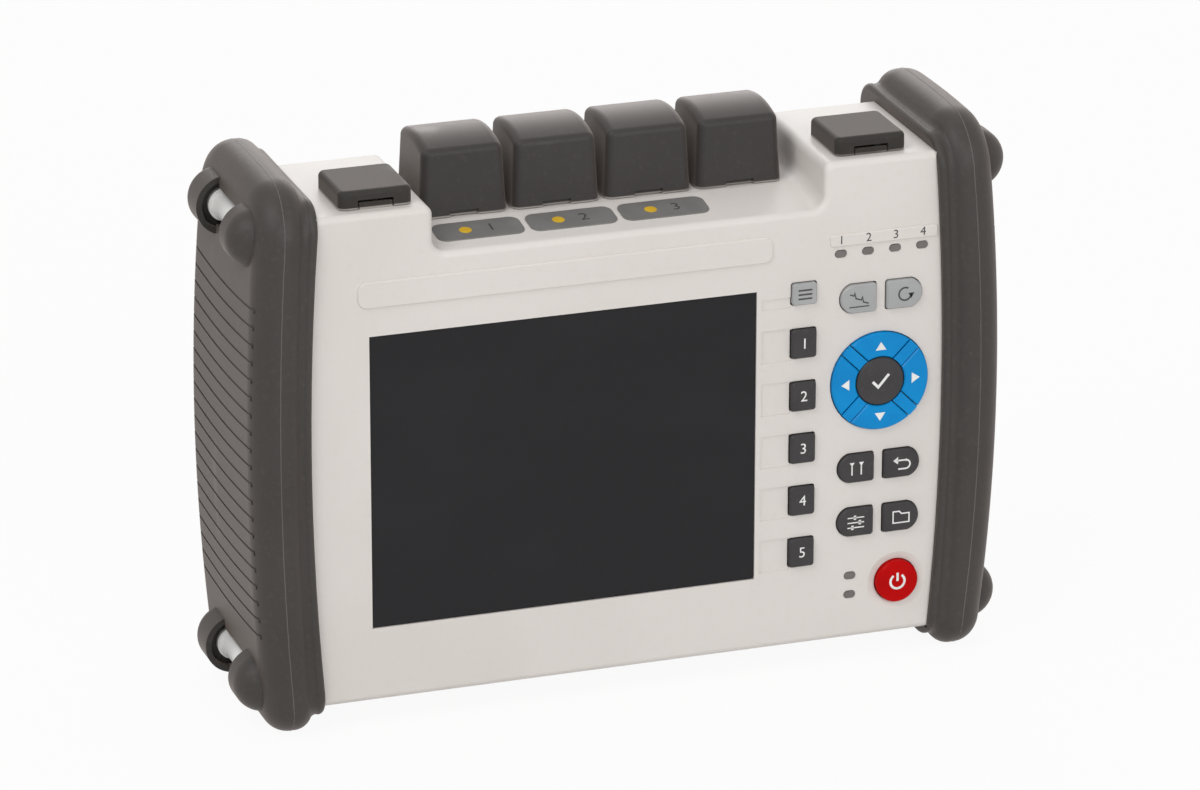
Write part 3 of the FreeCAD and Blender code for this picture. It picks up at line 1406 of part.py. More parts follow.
# ---------------------------------------------------------------- checks and export
def faults():
    doc.recompute()
    found = ["%s %s" % (thing.Name, thing.State) for thing in doc.Objects
             if "Invalid" in thing.State or "Error" in thing.State]
    for thing in parts:
        if thing.Shape.isNull() or not thing.Shape.isValid() or not thing.Shape.Solids:
            found.append("%s has no valid solid" % thing.Label)
    return found


problems = faults()
if problems:
    print("\n".join(problems))
    sys.exit(1)
os.makedirs("parts", exist_ok=True)
for thing in parts:
    thing.Shape.exportStep("parts/%s.step" % thing.Label)
print(len(parts), "sub-parts written")
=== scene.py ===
import json
import math

import bmesh
import bpy
from mathutils import Matrix, Vector
from mathutils.bvhtree import BVHTree


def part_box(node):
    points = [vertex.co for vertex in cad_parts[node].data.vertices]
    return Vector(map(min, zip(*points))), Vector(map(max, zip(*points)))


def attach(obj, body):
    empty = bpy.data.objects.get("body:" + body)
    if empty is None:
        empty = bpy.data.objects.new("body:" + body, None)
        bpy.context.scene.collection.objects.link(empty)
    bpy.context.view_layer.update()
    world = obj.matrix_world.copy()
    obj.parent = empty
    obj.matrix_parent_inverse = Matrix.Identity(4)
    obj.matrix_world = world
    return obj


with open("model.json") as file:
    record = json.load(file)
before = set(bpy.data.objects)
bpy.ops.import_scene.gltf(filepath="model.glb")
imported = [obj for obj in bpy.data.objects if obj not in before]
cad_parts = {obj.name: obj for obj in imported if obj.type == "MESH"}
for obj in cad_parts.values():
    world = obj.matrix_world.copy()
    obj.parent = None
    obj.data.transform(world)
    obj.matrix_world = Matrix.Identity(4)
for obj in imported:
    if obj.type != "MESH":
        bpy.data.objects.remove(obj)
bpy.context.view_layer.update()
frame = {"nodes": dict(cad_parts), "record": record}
nodes = frame["nodes"]
mm = 0.001


def srgb(red, green, blue):
    # a screen colour, 0 to 255, as the linear colour that the shaders take
    def linear(part):
        part /= 255
        return part / 12.92 if part <= 0.04045 else ((part + 0.055) / 1.055) ** 2.4
    return (linear(red), linear(green), linear(blue), 1.0)


# shader helpers
class Wire:
    # one output socket; arithmetic on it adds Math nodes
    def __init__(self, paint, socket):
        self.paint = paint
        self.socket = socket

    def maths(self, operation, first, second):
        return self.paint.add("ShaderNodeMath", {"operation": operation}, [first, second])

    def __add__(self, other):
        return self.maths("ADD", self, other)

    def __radd__(self, other):
        return self.maths("ADD", other, self)

    def __sub__(self, other):
        return self.maths("SUBTRACT", self, other)

    def __rsub__(self, other):
        return self.maths("SUBTRACT", other, self)

    def __mul__(self, other):
        return self.maths("MULTIPLY", self, other)

    def __rmul__(self, other):
        return self.maths("MULTIPLY", other, self)


class Paint:
    # one material and the nodes in it
    def __init__(self, name, tree=None):
        self.material = None
        if tree is None:
            self.material = bpy.data.materials.new(name)
            self.material.use_nodes = True
            tree = self.material.node_tree
        self.tree = tree
        self.tree.nodes.clear()

    def add(self, kind, settings=None, values=None, out=0):
        # a node: its settings first, then a value or a wire for each named or numbered socket
        node = self.tree.nodes.new(kind)
        for key, value in (settings or {}).items():
            setattr(node, key, value)
        pairs = values.items() if isinstance(values, dict) else enumerate(values or [])
        for key, value in pairs:
            if isinstance(value, Wire):
                self.tree.links.new(value.socket, node.inputs[key])
            else:
                node.inputs[key].default_value = value
        return Wire(self, node.outputs[out] if node.outputs else None)

    def spot(self, stretch=None):
        # place on the object in metres, stretched for streaks
        place = self.add("ShaderNodeTexCoord", out="Object")
        if stretch is None:
            return place
        return self.add("ShaderNodeVectorMath", {"operation": "MULTIPLY"}, [place, stretch])

    def noise(self, scale, detail=2.0, stretch=None):
        return self.add("ShaderNodeTexNoise",
                        values={"Vector": self.spot(stretch), "Scale": scale, "Detail": detail})

    def between(self, value, low, high):
        # 0 below low and 1 above high
        return self.add("ShaderNodeMapRange", {"interpolation_type": "SMOOTHSTEP"},
                        {"Value": value, "From Min": low, "From Max": high})

    def mix(self, mask, first, second):
        return self.add("ShaderNodeMix", {"data_type": "RGBA"}, {0: mask, 6: first, 7: second}, out=2)

    def bump(self, height, distance, after=None):
        values = {"Height": height, "Strength": 1.0, "Distance": distance}
        if after is not None:
            values["Normal"] = after
        return self.add("ShaderNodeBump", values=values)

    def surface(self, **values):
        values = {key.replace("_", " "): value for key, value in values.items()}
        return self.show(self.add("ShaderNodeBsdfPrincipled", values=values))

    def show(self, shader, kind="ShaderNodeOutputMaterial"):
        self.add(kind, values=[shader])
        return self.material


# finishes: colour and shade are the two tones of the cloudy surface, scales are per metre of the object,
# heights and the band of the painted highlight along the lower edge are in metres, and a range is where a
# noise goes from nothing to full
plainFinish = {"cloud": 14, "cloudRange": (0.32, 0.68), "roughSpread": 0.12, "shine": 0.5,
               "dustRange": (0.52, 0.78), "dustRough": 0.25,
               "rubScale": 70, "rubRange": (0.6, 0.74), "rubPolish": 0.35,
               "highlightBand": (0.0002, 0.0006), "highlightRange": (0.25, 0.6), "highlightShow": 0.8,
               "rippleScale": 38, "sheenRough": 0.45}


def moulded(name, look):
    # moulded plastic or rubber: cloudy colour and spark-eroded grain; dust, rubs, a painted highlight as a
    # pale band along the lower edge, ripple, a clear coat and sheen only where the look has them
    finish = dict(plainFinish, **look)
    paint = Paint(name)
    cloud = paint.noise(finish["cloud"], detail=3)
    grain = paint.noise(finish["grain"], detail=2)
    colour = paint.mix(paint.between(cloud, *finish["cloudRange"]), finish["shade"], finish["colour"])
    rough = grain * finish["roughSpread"] + (finish["rough"] - finish["roughSpread"] / 2)
    if "dust" in finish:
        speck = paint.noise(finish["dustScale"], detail=6)
        speck = paint.between(speck, *finish["dustRange"]) * finish["dustShow"]
        colour = paint.mix(speck, colour, finish["dust"])
        rough = rough + speck * finish["dustRough"]
    if "rub" in finish:
        streak = paint.noise(finish["rubScale"], detail=5, stretch=finish["rubAlong"])
        rub = paint.between(streak, *finish["rubRange"]) * finish["rub"]
        rough = rough - rub * finish["rubPolish"]
    if "edgeAt" in finish:
        # a pale band along the bottom edge, patchy with the cloud: a painted highlight
        height = paint.add("ShaderNodeSeparateXYZ", values=[paint.spot()], out="Z")
        low, high = finish["highlightBand"]
        paintedHighlight = 1 - paint.between(height, finish["edgeAt"] + low, finish["edgeAt"] + high)
        highlightPatches = paint.between(cloud, *finish["highlightRange"])
        colour = paint.mix(paintedHighlight * highlightPatches * finish["highlightShow"], colour, finish["edge"])
    normal = paint.bump(grain, finish["grainHeight"])
    if "ripple" in finish:
        wave = paint.noise(finish["rippleScale"], detail=1)
        normal = paint.bump(wave, finish["ripple"], after=normal)
    shell = {"Base_Color": colour, "Roughness": rough, "Normal": normal,
             "Specular_IOR_Level": finish["shine"]}
    if "coat" in finish:
        shell.update(Coat_Weight=finish["coat"], Coat_Roughness=finish["coatRough"])
    if "sheen" in finish:
        shell.update(Sheen_Weight=finish["sheen"], Sheen_Roughness=finish["sheenRough"],
                     Sheen_Tint=finish["sheenTint"])
    return paint.surface(**shell)


def metal(name, finish):
    # brushed or turned metal with faint stains
    paint = Paint(name)
    brushed = paint.noise(finish["lines"], detail=3, stretch=finish["along"])
    stain = paint.noise(finish["stain"], detail=4)
    colour = paint.mix(paint.between(stain, *finish["stainRange"]), finish["colour"], finish["shade"])
    rough = finish["rough"] + (brushed - 0.5) * finish["roughSpread"]
    return paint.surface(Base_Color=colour, Metallic=1.0, Roughness=rough,
                         Normal=paint.bump(brushed, finish["lineHeight"]))


shellFinish = {"colour": srgb(222, 217, 212), "shade": srgb(218, 212, 207), "rough": 0.46, "grain": 2300,
               "grainHeight": 0.000014, "shine": 0.35, "ripple": 0.00002,
               "dust": srgb(196, 186, 174), "dustScale": 420, "dustShow": 0.10}
rearFinish = dict(shellFinish, rough=0.52, grainHeight=0.00002, dustShow=0.14)
doorFinish = dict(shellFinish, colour=srgb(218, 213, 207), shade=srgb(213, 207, 200), rough=0.5)
standFinish = dict(shellFinish, colour=srgb(215, 210, 205), shade=srgb(209, 203, 197), rough=0.48)
rubberFinish = {"colour": srgb(63, 60, 58), "shade": srgb(58, 55, 53), "rough": 0.5, "shine": 0.28,
                "grain": 1500, "grainHeight": 0.00002, "cloud": 22, "ripple": 0.00004,
                "dust": srgb(122, 112, 106), "dustScale": 620, "dustShow": 0.10,
                "rub": 0.3, "rubAlong": (1, 1, 0.25), "sheen": 0.22, "sheenTint": srgb(236, 208, 190)}
capFinish = dict(rubberFinish, colour=srgb(47, 44, 43), shade=srgb(43, 40, 39), rough=0.52, shine=0.34,
                 grain=1900, grainHeight=0.000015, dustShow=0.06, sheen=0.5, sheenTint=srgb(226, 210, 200))
# caps and service lids: the pale band just above their bottom, in the edge colour, is a painted highlight
capFinish.update(edgeAt=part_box("port_cap_1")[0].z, edge=srgb(176, 170, 164))
lidFinish = dict(capFinish, edgeAt=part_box("left_service_cap")[0].z, colour=srgb(48, 45, 43),
                 shade=srgb(44, 41, 39), rough=0.64, shine=0.24, sheen=0.36)
barFinish = {"colour": srgb(240, 239, 237), "shade": srgb(233, 232, 229), "rough": 0.3, "grain": 1200,
             "grainHeight": 0.000005, "coat": 0.4, "coatRough": 0.15, "cloud": 60}
keyGrain = {"rough": 0.5, "grain": 3000, "grainHeight": 0.000008, "cloud": 90}
darkKeyFinish = dict(keyGrain, colour=srgb(62, 60, 61), shade=srgb(57, 55, 56), shine=0.25,
                     dust=srgb(128, 124, 122), dustScale=900, dustShow=0.08)
lightKeyFinish = dict(keyGrain, colour=srgb(166, 167, 167), shade=srgb(160, 161, 161), rough=0.46)
blueKeyFinish = dict(keyGrain, colour=srgb(0, 139, 207), shade=srgb(0, 131, 199), rough=0.36, shine=0.15,
                     coat=0.06, coatRough=0.18)
redKeyFinish = dict(keyGrain, colour=srgb(190, 2, 4), shade=srgb(180, 1, 3), rough=0.4, shine=0.06, coat=0.04,
                    coatRough=0.15)
lensFinish = {"colour": srgb(110, 104, 101), "shade": srgb(100, 95, 92), "rough": 0.34, "grain": 1600,
              "grainHeight": 0.000003, "coat": 0.2, "coatRough": 0.1, "cloud": 220}
labelFinish = {"colour": srgb(122, 121, 119), "shade": srgb(115, 114, 112), "rough": 0.44, "grain": 2600,
               "grainHeight": 0.000005, "cloud": 120}
foamFinish = {"colour": srgb(34, 34, 35), "shade": srgb(27, 27, 28), "rough": 0.9, "grain": 1400,
              "grainHeight": 0.0001}
frameFinish = {"colour": srgb(26, 27, 29), "shade": srgb(21, 22, 24), "rough": 0.4, "grain": 1500,
               "grainHeight": 0.00001}
matFinish = {"colour": srgb(205, 205, 203), "shade": srgb(196, 197, 196), "rough": 0.6, "grain": 900,
             "grainHeight": 0.00002}
spoolFinish = {"colour": srgb(44, 45, 48), "shade": srgb(36, 37, 40), "rough": 0.45, "grain": 1300,
               "grainHeight": 0.00001}
wrapFinish = {"colour": srgb(40, 74, 122), "shade": srgb(32, 62, 108), "rough": 0.28, "grain": 260,
              "grainHeight": 0.00006, "coat": 0.6, "coatRough": 0.12}
inkFinish = {"colour": srgb(236, 236, 234), "shade": srgb(226, 226, 224), "rough": 0.55, "grain": 4200,
             "grainHeight": 0.000004, "cloud": 300}
darkInkFinish = dict(inkFinish, colour=srgb(64, 62, 62), shade=srgb(54, 52, 52))
yellowInkFinish = dict(inkFinish, colour=srgb(222, 182, 40), shade=srgb(212, 168, 32))
flashFinish = dict(rubberFinish, colour=srgb(104, 99, 95), shade=srgb(92, 87, 84), dustShow=0.3)
steelFinish = {"colour": (0.56, 0.56, 0.57, 1), "shade": (0.44, 0.43, 0.43, 1), "rough": 0.32,
               "roughSpread": 0.25, "stain": 90, "stainRange": (0.35, 0.75),
               "lines": 900, "along": (1, 1, 0.1), "lineHeight": 0.000008}
nickelFinish = dict(steelFinish, colour=(0.66, 0.63, 0.58, 1), shade=(0.53, 0.5, 0.45, 1), rough=0.27,
                    along=(0.2, 0.2, 3))
caseFinish = dict(steelFinish, colour=(0.5, 0.5, 0.51, 1), rough=0.42, lines=240, along=(0.06, 1, 1))


glassFinish = {"colour": srgb(36, 35, 37), "rough": 0.3, "shine": 0.15,
               "smear": srgb(44, 43, 45), "smearScale": 24, "smearAlong": (1, 1, 1.6),
               "smearRange": (0.42, 0.8), "smearShow": 0.25, "smearRough": 0.12,
               "dust": srgb(120, 118, 116), "dustScale": 1500, "dustRange": (0.72, 0.8), "dustShow": 0.12}


def glassFront(name, finish):
    # dark anti-glare window over a display that is off: faint cloud of dust and finger marks
    paint = Paint(name)
    smear = paint.noise(finish["smearScale"], detail=4, stretch=finish["smearAlong"])
    smear = paint.between(smear, *finish["smearRange"])
    speck = paint.between(paint.noise(finish["dustScale"], detail=2), *finish["dustRange"])
    colour = paint.mix(smear * finish["smearShow"], finish["colour"], finish["smear"])
    colour = paint.mix(speck * finish["dustShow"], colour, finish["dust"])
    return paint.surface(Base_Color=colour, Roughness=smear * finish["smearRough"] + finish["rough"],
                         Specular_IOR_Level=finish["shine"])


boardFinish = {"mask": srgb(10, 74, 44), "track": srgb(16, 92, 54), "tin": srgb(196, 190, 176), "rough": 0.45,
               "trackScale": 160, "trackGap": 0.06, "padScale": 420, "padRange": (0.12, 0.16),
               "padPolish": 0.2, "padMetal": 0.9}


def circuitBoard(name, finish):
    # solder mask with tracks under it and rows of tinned pads
    paint = Paint(name)
    track = paint.add("ShaderNodeTexBrick", values={
        "Vector": paint.spot(), "Scale": finish["trackScale"], "Mortar Size": finish["trackGap"],
        "Color1": (1, 1, 1, 1), "Color2": (0.8, 0.8, 0.8, 1), "Mortar": (0, 0, 0, 1)})
    pad = paint.add("ShaderNodeTexVoronoi", values={"Vector": paint.spot(), "Scale": finish["padScale"]})
    pads = 1 - paint.between(pad, *finish["padRange"])
    colour = paint.mix(track, finish["mask"], finish["track"])
    colour = paint.mix(pads, colour, finish["tin"])
    return paint.surface(Base_Color=colour, Roughness=finish["rough"] - pads * finish["padPolish"],
                         Metallic=pads * finish["padMetal"])


finishes = {
    "housing_white": moulded("housingWhite", shellFinish),
    "housing_white_rear": moulded("housingRear", rearFinish),
    "bumper_rubber": moulded("bumperRubber", rubberFinish),
    "cap_rubber": moulded("capRubber", capFinish),
    "strap_bar_plastic": moulded("strapBarPlastic", barFinish),
    "window_glass": glassFront("displayWindow", glassFinish),
    "gasket_foam": moulded("gasketFoam", foamFinish),
    "display_frame": moulded("displayFrame", frameFinish),
    "keymat_rubber": moulded("keyMatRubber", matFinish),
    "circuit_board": circuitBoard("circuitBoard", boardFinish),
    "engine_case": metal("engineCase", caseFinish),
    "spool_plastic": moulded("spoolPlastic", spoolFinish),
    "battery_wrap": moulded("batteryWrap", wrapFinish),
    "door_plastic": moulded("doorPlastic", doorFinish),
    "stand_plastic": moulded("standPlastic", standFinish),
    "screw_steel": metal("screwSteel", steelFinish),
    "pin_steel": metal("pinSteel", steelFinish),
    "lens_plastic": moulded("lensPlastic", lensFinish),
    "light_key": moulded("lightKey", lightKeyFinish),
    "dark_key": moulded("darkKey", darkKeyFinish),
    "red_key": moulded("redKey", redKeyFinish),
    "blue_key": moulded("blueKey", blueKeyFinish),
    "adapter_nickel": metal("adapterNickel", nickelFinish),
    "socket_steel": metal("socketSteel", steelFinish),
    "socket_plastic": moulded("socketPlastic", frameFinish),
    "label_grey": moulded("labelGrey", labelFinish),
}
whiteInk = moulded("whiteInk", inkFinish)
darkInk = moulded("darkInk", darkInkFinish)
yellowInk = moulded("yellowInk", yellowInkFinish)
flashRubber = moulded("flashRubber", flashFinish)
lidRubber = moulded("lidRubber", lidFinish)
for part in frame["record"]["subparts"]:
    slots = nodes[part["node"]].data.materials
    if not slots:
        slots.append(None)
    for i in range(len(slots)):
        slots[i] = finishes[part["material_slot"]]
for cap in ("left_service_cap", "right_service_cap"):
    nodes[cap].data.materials[0] = lidRubber
print("finishes made:", len(finishes))


# pieces of each bumper, in metres: rubber that fills the valley between its lip and its rolled rim, a floor
# part of the way up its grip grooves, and the thin flash line that the mould leaves along the rim
crease = {
    "ball": 0.0023,                              # radius of the ball that rolls along the valley
    "inset": 0.006, "corner": 0.012,             # of the loop that it follows
    "step": 0.0025, "turns": 12,                 # places along a straight, and in a corner
    "lipReach": 0.0260, "scanned": 0.018, "scan": 0.0003,    # the stretch that is felt, and how finely
    "drop": 0.02, "level": 0.00003, "flat": 1e-7,            # what counts as the lip and as the crest
    "samples": 20, "sink": 0.00004, "deep": 0.0012, "clear": 0.03,
}
grooves = {
    "ball": 0.012,                               # rolls up the side and gives the floor its curve
    "half": 0.0325, "bottom": 0.0295, "top": 0.1405,
    "columns": 40, "scan": 0.0003, "skip": 8,
    "deep": 0.0003, "thick": 0.0003, "clear": 0.02,
}
flash = {
    "wide": 0.00022, "proud": 0.00012, "deep": 0.0004, "sink": 0.00005,
    "below": 0.0003, "out": 0.0032,              # how far past the spot that is this far below the crest
    "lowest": -0.94,                             # downward share of the way out at which it fades away
}


def loopRound(low, high, spec):
    # places and outward ways round a rounded rectangle in the YZ plane, inset from a box
    inset, corner, step, turns = (spec[key] for key in ("inset", "corner", "step", "turns"))
    spanY = (low.y + inset + corner, high.y - inset - corner)
    spanZ = (low.z + inset + corner, high.z - inset - corner)
    corners = ((spanY[1], spanZ[0]), (spanY[1], spanZ[1]), (spanY[0], spanZ[1]), (spanY[0], spanZ[0]))
    stations = []
    for quarter, (y, z) in enumerate(corners):
        for i in range(turns):
            angle = math.radians(90 * quarter - 90 + 90 * i / turns)
            out = Vector((0, math.cos(angle), math.sin(angle)))
            stations.append((Vector((0, y, z)) + out * corner, out))
        out = Vector((0, math.cos(math.radians(90 * quarter)), math.sin(math.radians(90 * quarter))))
        along = Vector((0, -out.z, out.y))
        length = spanZ[1] - spanZ[0] if quarter % 2 == 0 else spanY[1] - spanY[0]
        count = round(length / step)
        start = Vector((0, y, z)) + out * corner
        stations += [(start + along * length * i / count, out) for i in range(count)]
    return stations


def rollBall(heights, pitch, radius):
    # height of the surface that a ball of this radius touches as it rolls over the profile
    reach = int(radius / pitch)
    arc = [math.sqrt(radius ** 2 - (k * pitch) ** 2) for k in range(reach + 1)]
    count = len(heights)
    centres = {}
    for i in range(-reach, count + reach):
        under = range(max(0, i - reach), min(count, i + reach + 1))
        centres[i] = max(heights[j] + arc[abs(i - j)] for j in under)
    return [min(centres[j] - arc[abs(i - j)] for j in range(i - reach, i + reach + 1)) for i in range(count)]


def ringMesh(name, rows):
    # closed ring: each row holds the places over the top, then back along the bottom
    work = bmesh.new()
    grid = [[work.verts.new(place) for place in row] for row in rows]
    for i, row in enumerate(grid):
        after = grid[(i + 1) % len(grid)]
        for j in range(len(row)):
            k = (j + 1) % len(row)
            work.faces.new((row[j], after[j], after[k], row[k]))
    bmesh.ops.recalc_face_normals(work, faces=work.faces)
    mesh = bpy.data.meshes.new(name)
    work.to_mesh(mesh)
    work.free()
    for face in mesh.polygons:
        face.use_smooth = True
    return mesh


def shallowGrooves(node, side, surface, low, high):
    # a rubber floor part of the way up the grip grooves, which are shallow, curved like the side itself
    outer = max(abs(low.x), abs(high.x))
    count = int((grooves["top"] - grooves["bottom"]) / grooves["scan"])
    columns = []
    for k in range(grooves["columns"] + 1):
        y = -grooves["half"] + 2 * grooves["half"] * k / grooves["columns"]
        profile = []
        for i in range(count):
            z = grooves["bottom"] + grooves["scan"] * i
            origin = Vector((side * (outer + grooves["clear"]), y, z))
            hit = surface.ray_cast(origin, Vector((-side, 0, 0)))[0]
            profile.append(side * hit.x)
        smooth = rollBall(profile, grooves["scan"], grooves["ball"])[::grooves["skip"]]
        rise = grooves["scan"] * grooves["skip"]
        columns.append([Vector((side * (x - grooves["deep"]), y, grooves["bottom"] + rise * i))
                        for i, x in enumerate(smooth)])
    work = bmesh.new()
    inner = Vector((-side * grooves["thick"], 0, 0))
    front = [[work.verts.new(place) for place in column] for column in columns]
    back = [[work.verts.new(place + inner) for place in column] for column in columns]
    tall = len(columns[0])
    for k in range(len(columns) - 1):
        for i in range(tall - 1):
            work.faces.new((front[k][i], front[k][i + 1], front[k + 1][i + 1], front[k + 1][i]))
            work.faces.new((back[k][i], back[k + 1][i], back[k + 1][i + 1], back[k][i + 1]))
        for i in (0, tall - 1):
            work.faces.new((front[k][i], front[k + 1][i], back[k + 1][i], back[k][i]))
    for k in (0, len(columns) - 1):
        for i in range(tall - 1):
            work.faces.new((front[k][i], back[k][i], back[k][i + 1], front[k][i + 1]))
    bmesh.ops.recalc_face_normals(work, faces=work.faces)
    mesh = bpy.data.meshes.new(node + "_groove_floor")
    work.to_mesh(mesh)
    work.free()
    pressOn(mesh.name, mesh, finishes["bumper_rubber"], "housing")


def dressBumper(node, side):
    # side is -1 for the left bumper and 1 for the right one
    low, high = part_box(node)
    bumper = nodes[node].data
    surface = BVHTree.FromPolygons([v.co for v in bumper.vertices], [p.vertices for p in bumper.polygons])
    outer = max(abs(low.x), abs(high.x))
    creaseRows, flashRows = [], []
    scanned = [outer - crease["lipReach"] + crease["scan"] * i
               for i in range(int(crease["scanned"] / crease["scan"]))]
    for place, out in loopRound(low, high, crease):

        def height(x, place=place, out=out):
            # how far the bumper stands out at this distance from the middle plane, far below for a miss
            hit = surface.ray_cast(Vector((side * x, 0, 0)) + place + out * crease["clear"], -out)[0]
            return -1.0 if hit is None else (hit - place).dot(out)

        # from the top of the lip to the crest of the rim
        profile = [height(x) for x in scanned]
        crest = max(profile)
        first = next(i for i, h in enumerate(profile) if h > crest - crease["drop"])
        while profile[first + 1] > profile[first] + crease["flat"]:
            first += 1
        last = next(i for i, h in enumerate(profile) if h > crest - crease["level"])
        rolled = rollBall(profile[first:last + 1], crease["scan"], crease["ball"])
        top, under = [], []
        for k in range(crease["samples"] + 1):
            spot = k / crease["samples"] * (len(rolled) - 1)
            i = min(int(spot), len(rolled) - 2)
            h = rolled[i] + (rolled[i + 1] - rolled[i]) * (spot - i) - crease["sink"]
            x = scanned[first] + spot * crease["scan"]
            top.append(Vector((side * x, 0, 0)) + place + out * h)
            under.append(Vector((side * x, 0, 0)) + place + out * (h - crease["deep"]))
        creaseRows.append(top + under[::-1])

        # the flash line keeps its distance from where the rim nears its crest
        level = crest - flash["below"]
        last = next(i for i, h in enumerate(profile) if h > level)
        x = scanned[last] - crease["scan"] * (profile[last] - level) / (profile[last] - profile[last - 1])
        x += flash["out"]
        proud = flash["proud"] if out.z > flash["lowest"] else -flash["sink"]
        edge = [(-1, -flash["sink"]), (0, proud), (1, -flash["sink"]), (0, -flash["deep"])]
        flashRows.append([Vector((side * (x + way * flash["wide"]), 0, 0)) + place
                          + out * (height(x + way * flash["wide"]) + lift) for way, lift in edge])
    shallowGrooves(node, side, surface, low, high)
    for part, rows, rubber in (("_crease", creaseRows, finishes["bumper_rubber"]),
                               ("_flash_line", flashRows, flashRubber)):
        pressOn(node + part, ringMesh(node + part, rows), rubber, "housing")


# prints on the keys and labels: strokes and filled shapes in mm about a middle, pressed on as thin ink
pen = {"width": 0.52, "lift": 0.035, "thick": 0.09, "numeral": 3.3, "figureShare": 0.7, "roundSteps": 3,
       "mitre": 0.5, "weld": 1e-7}


def arcPoints(middle, radius, start, stop, steps=28):
    return [(middle[0] + radius * math.cos(math.radians(start + (stop - start) * i / steps)),
             middle[1] + radius * math.sin(math.radians(start + (stop - start) * i / steps)))
            for i in range(steps + 1)]


def strokeOutline(points, width, closed=False):
    # two sides of a pen stroke along the points, with mitred corners
    count = len(points)
    left, right = [], []
    for i, point in enumerate(points):
        here = Vector(point)
        before = Vector(points[i - 1]) if i or closed else None
        after = Vector(points[(i + 1) % count]) if i < count - 1 or closed else None
        ways = [(here - before).normalized()] if before is not None else []
        ways += [(after - here).normalized()] if after is not None else []
        way = sum(ways, Vector((0, 0))).normalized()
        side = Vector((-way.y, way.x))
        reach = width / 2 / max(pen["mitre"], side.dot(Vector((-ways[0].y, ways[0].x))))
        left.append(here + side * reach)
        right.append(here - side * reach)
    return left, right


def inkMesh(name, strokes, fills, sheetTop, thick, toWorld):
    # strokes and filled outlines as thin solids, whose outer face is sheetTop mm off the surface
    work = bmesh.new()

    def polygon(points):
        area = sum(a[0] * b[1] - b[0] * a[1] for a, b in zip(points, points[1:] + points[:1]))
        points = points if area > 0 else points[::-1]
        front = [work.verts.new(toWorld(x, z, sheetTop)) for x, z in points]
        back = [work.verts.new(toWorld(x, z, sheetTop - thick)) for x, z in points]
        work.faces.new(front)
        work.faces.new(back[::-1])
        for i in range(len(front)):
            j = (i + 1) % len(front)
            work.faces.new((front[j], front[i], back[i], back[j]))

    for points, width, closed in strokes:
        left, right = strokeOutline(points, width, closed)
        steps = len(points) if closed else len(points) - 1
        for i in range(steps):
            j = (i + 1) % len(points)
            polygon([tuple(left[i]), tuple(left[j]), tuple(right[j]), tuple(right[i])])
    for points in fills:
        polygon([tuple(point) for point in points])
    bmesh.ops.remove_doubles(work, verts=work.verts, dist=pen["weld"])
    mesh = bpy.data.meshes.new(name)
    work.to_mesh(mesh)
    work.free()
    return mesh


def numeralMesh(name, text, height, sheetTop, thick, toWorld):
    # plain figures, taken from the built-in typeface as a thin solid
    curve = bpy.data.curves.new(name + "Text", "FONT")
    curve.body = text
    curve.size = height / pen["figureShare"]
    curve.align_x = "CENTER"
    curve.align_y = "CENTER"
    curve.resolution_u = pen["roundSteps"]
    curve.extrude = thick / 2
    holder = bpy.data.objects.new(name + "Text", curve)
    bpy.context.scene.collection.objects.link(holder)
    bpy.context.view_layer.update()
    mesh = bpy.data.meshes.new_from_object(holder.evaluated_get(bpy.context.evaluated_depsgraph_get()))
    bpy.data.objects.remove(holder)
    bpy.data.curves.remove(curve)
    for vertex in mesh.vertices:
        x, z, lift = vertex.co
        vertex.co = toWorld(x, z, sheetTop - thick / 2 + lift)
    mesh.name = name
    return mesh


def pressOn(name, mesh, ink, body):
    # the mesh as a piece that rides on a body
    mesh.materials.clear()
    mesh.materials.append(ink)
    piece = bpy.data.objects.new(name, mesh)
    bpy.context.scene.collection.objects.link(piece)
    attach(piece, body)


def onSheet(middle, upward=Vector((0, 0, 1)), outward=Vector((0, -1, 0))):
    # turns mm across, up and out of a flat face into places in the frame; upright and facing front by itself
    def toWorld(x, z, lift):
        return middle + (Vector((x, 0, 0)) + upward * z + outward * lift) * mm
    return toWorld


def onFace(node, up=0.0):
    # about the middle of a node's front
    low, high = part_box(node)
    return onSheet(Vector(((low.x + high.x) / 2, low.y, (low.z + high.z) / 2 + up * mm)))


def line(*points, width=None, closed=False):
    return (list(points), width or pen["width"], closed)


def keyMark(key, ink, strokes=(), fills=(), up=0.0):
    mesh = inkMesh(key + "_mark", strokes, fills, pen["lift"], pen["thick"], onFace(key, up))
    pressOn(key + "_mark", mesh, ink, key)


menuBars = {"half": 2.2, "pitch": 1.35}
keyMark("menu_key", darkInk,
        [line((-menuBars["half"], row * menuBars["pitch"]), (menuBars["half"], row * menuBars["pitch"]))
         for row in (-1, 0, 1)])
softKeys = 5
for number in range(1, softKeys + 1):
    key = "soft_key_%d" % number
    mesh = numeralMesh(key + "_mark", str(number), pen["numeral"], pen["lift"], pen["thick"], onFace(key))
    pressOn(key + "_mark", mesh, whiteInk, key)

# a falling trace over its axis, an arrow that comes round, two markers, a return arrow, three sliders, a
# folder, a tick and the power sign
widths = {"trace": 0.42, "axis": 0.36, "marker": 0.42, "back": 0.5, "slider": 0.36, "knob": 0.8,
          "folder": 0.42, "tick": 0.85}
traceMark = [(-3.0, 1.7), (-1.7, 1.2), (-1.45, 2.1), (-1.1, 0.3),
             (0.7, -0.3), (1.0, 0.7), (1.3, -1.0), (3.0, -1.6)]
keyMark("measure_key", darkInk,
        [line(*traceMark, width=widths["trace"]), line((-3.2, -2.4), (3.2, -2.4), width=widths["axis"])])
keyMark("auto_key", darkInk, [line(*arcPoints((0, 0), 2.0, 60, 360))],
        [[(1.0, 0.2), (3.0, 0.2), (2.0, -1.5)]])
keyMark("marker_key", whiteInk,
        [line((place, -2.0), (place, 1.0), width=widths["marker"]) for place in (-1.5, 1.5)],
        [[(place - 0.8, 2.1), (place + 0.8, 2.1), (place, 0.8)] for place in (-1.5, 1.5)])
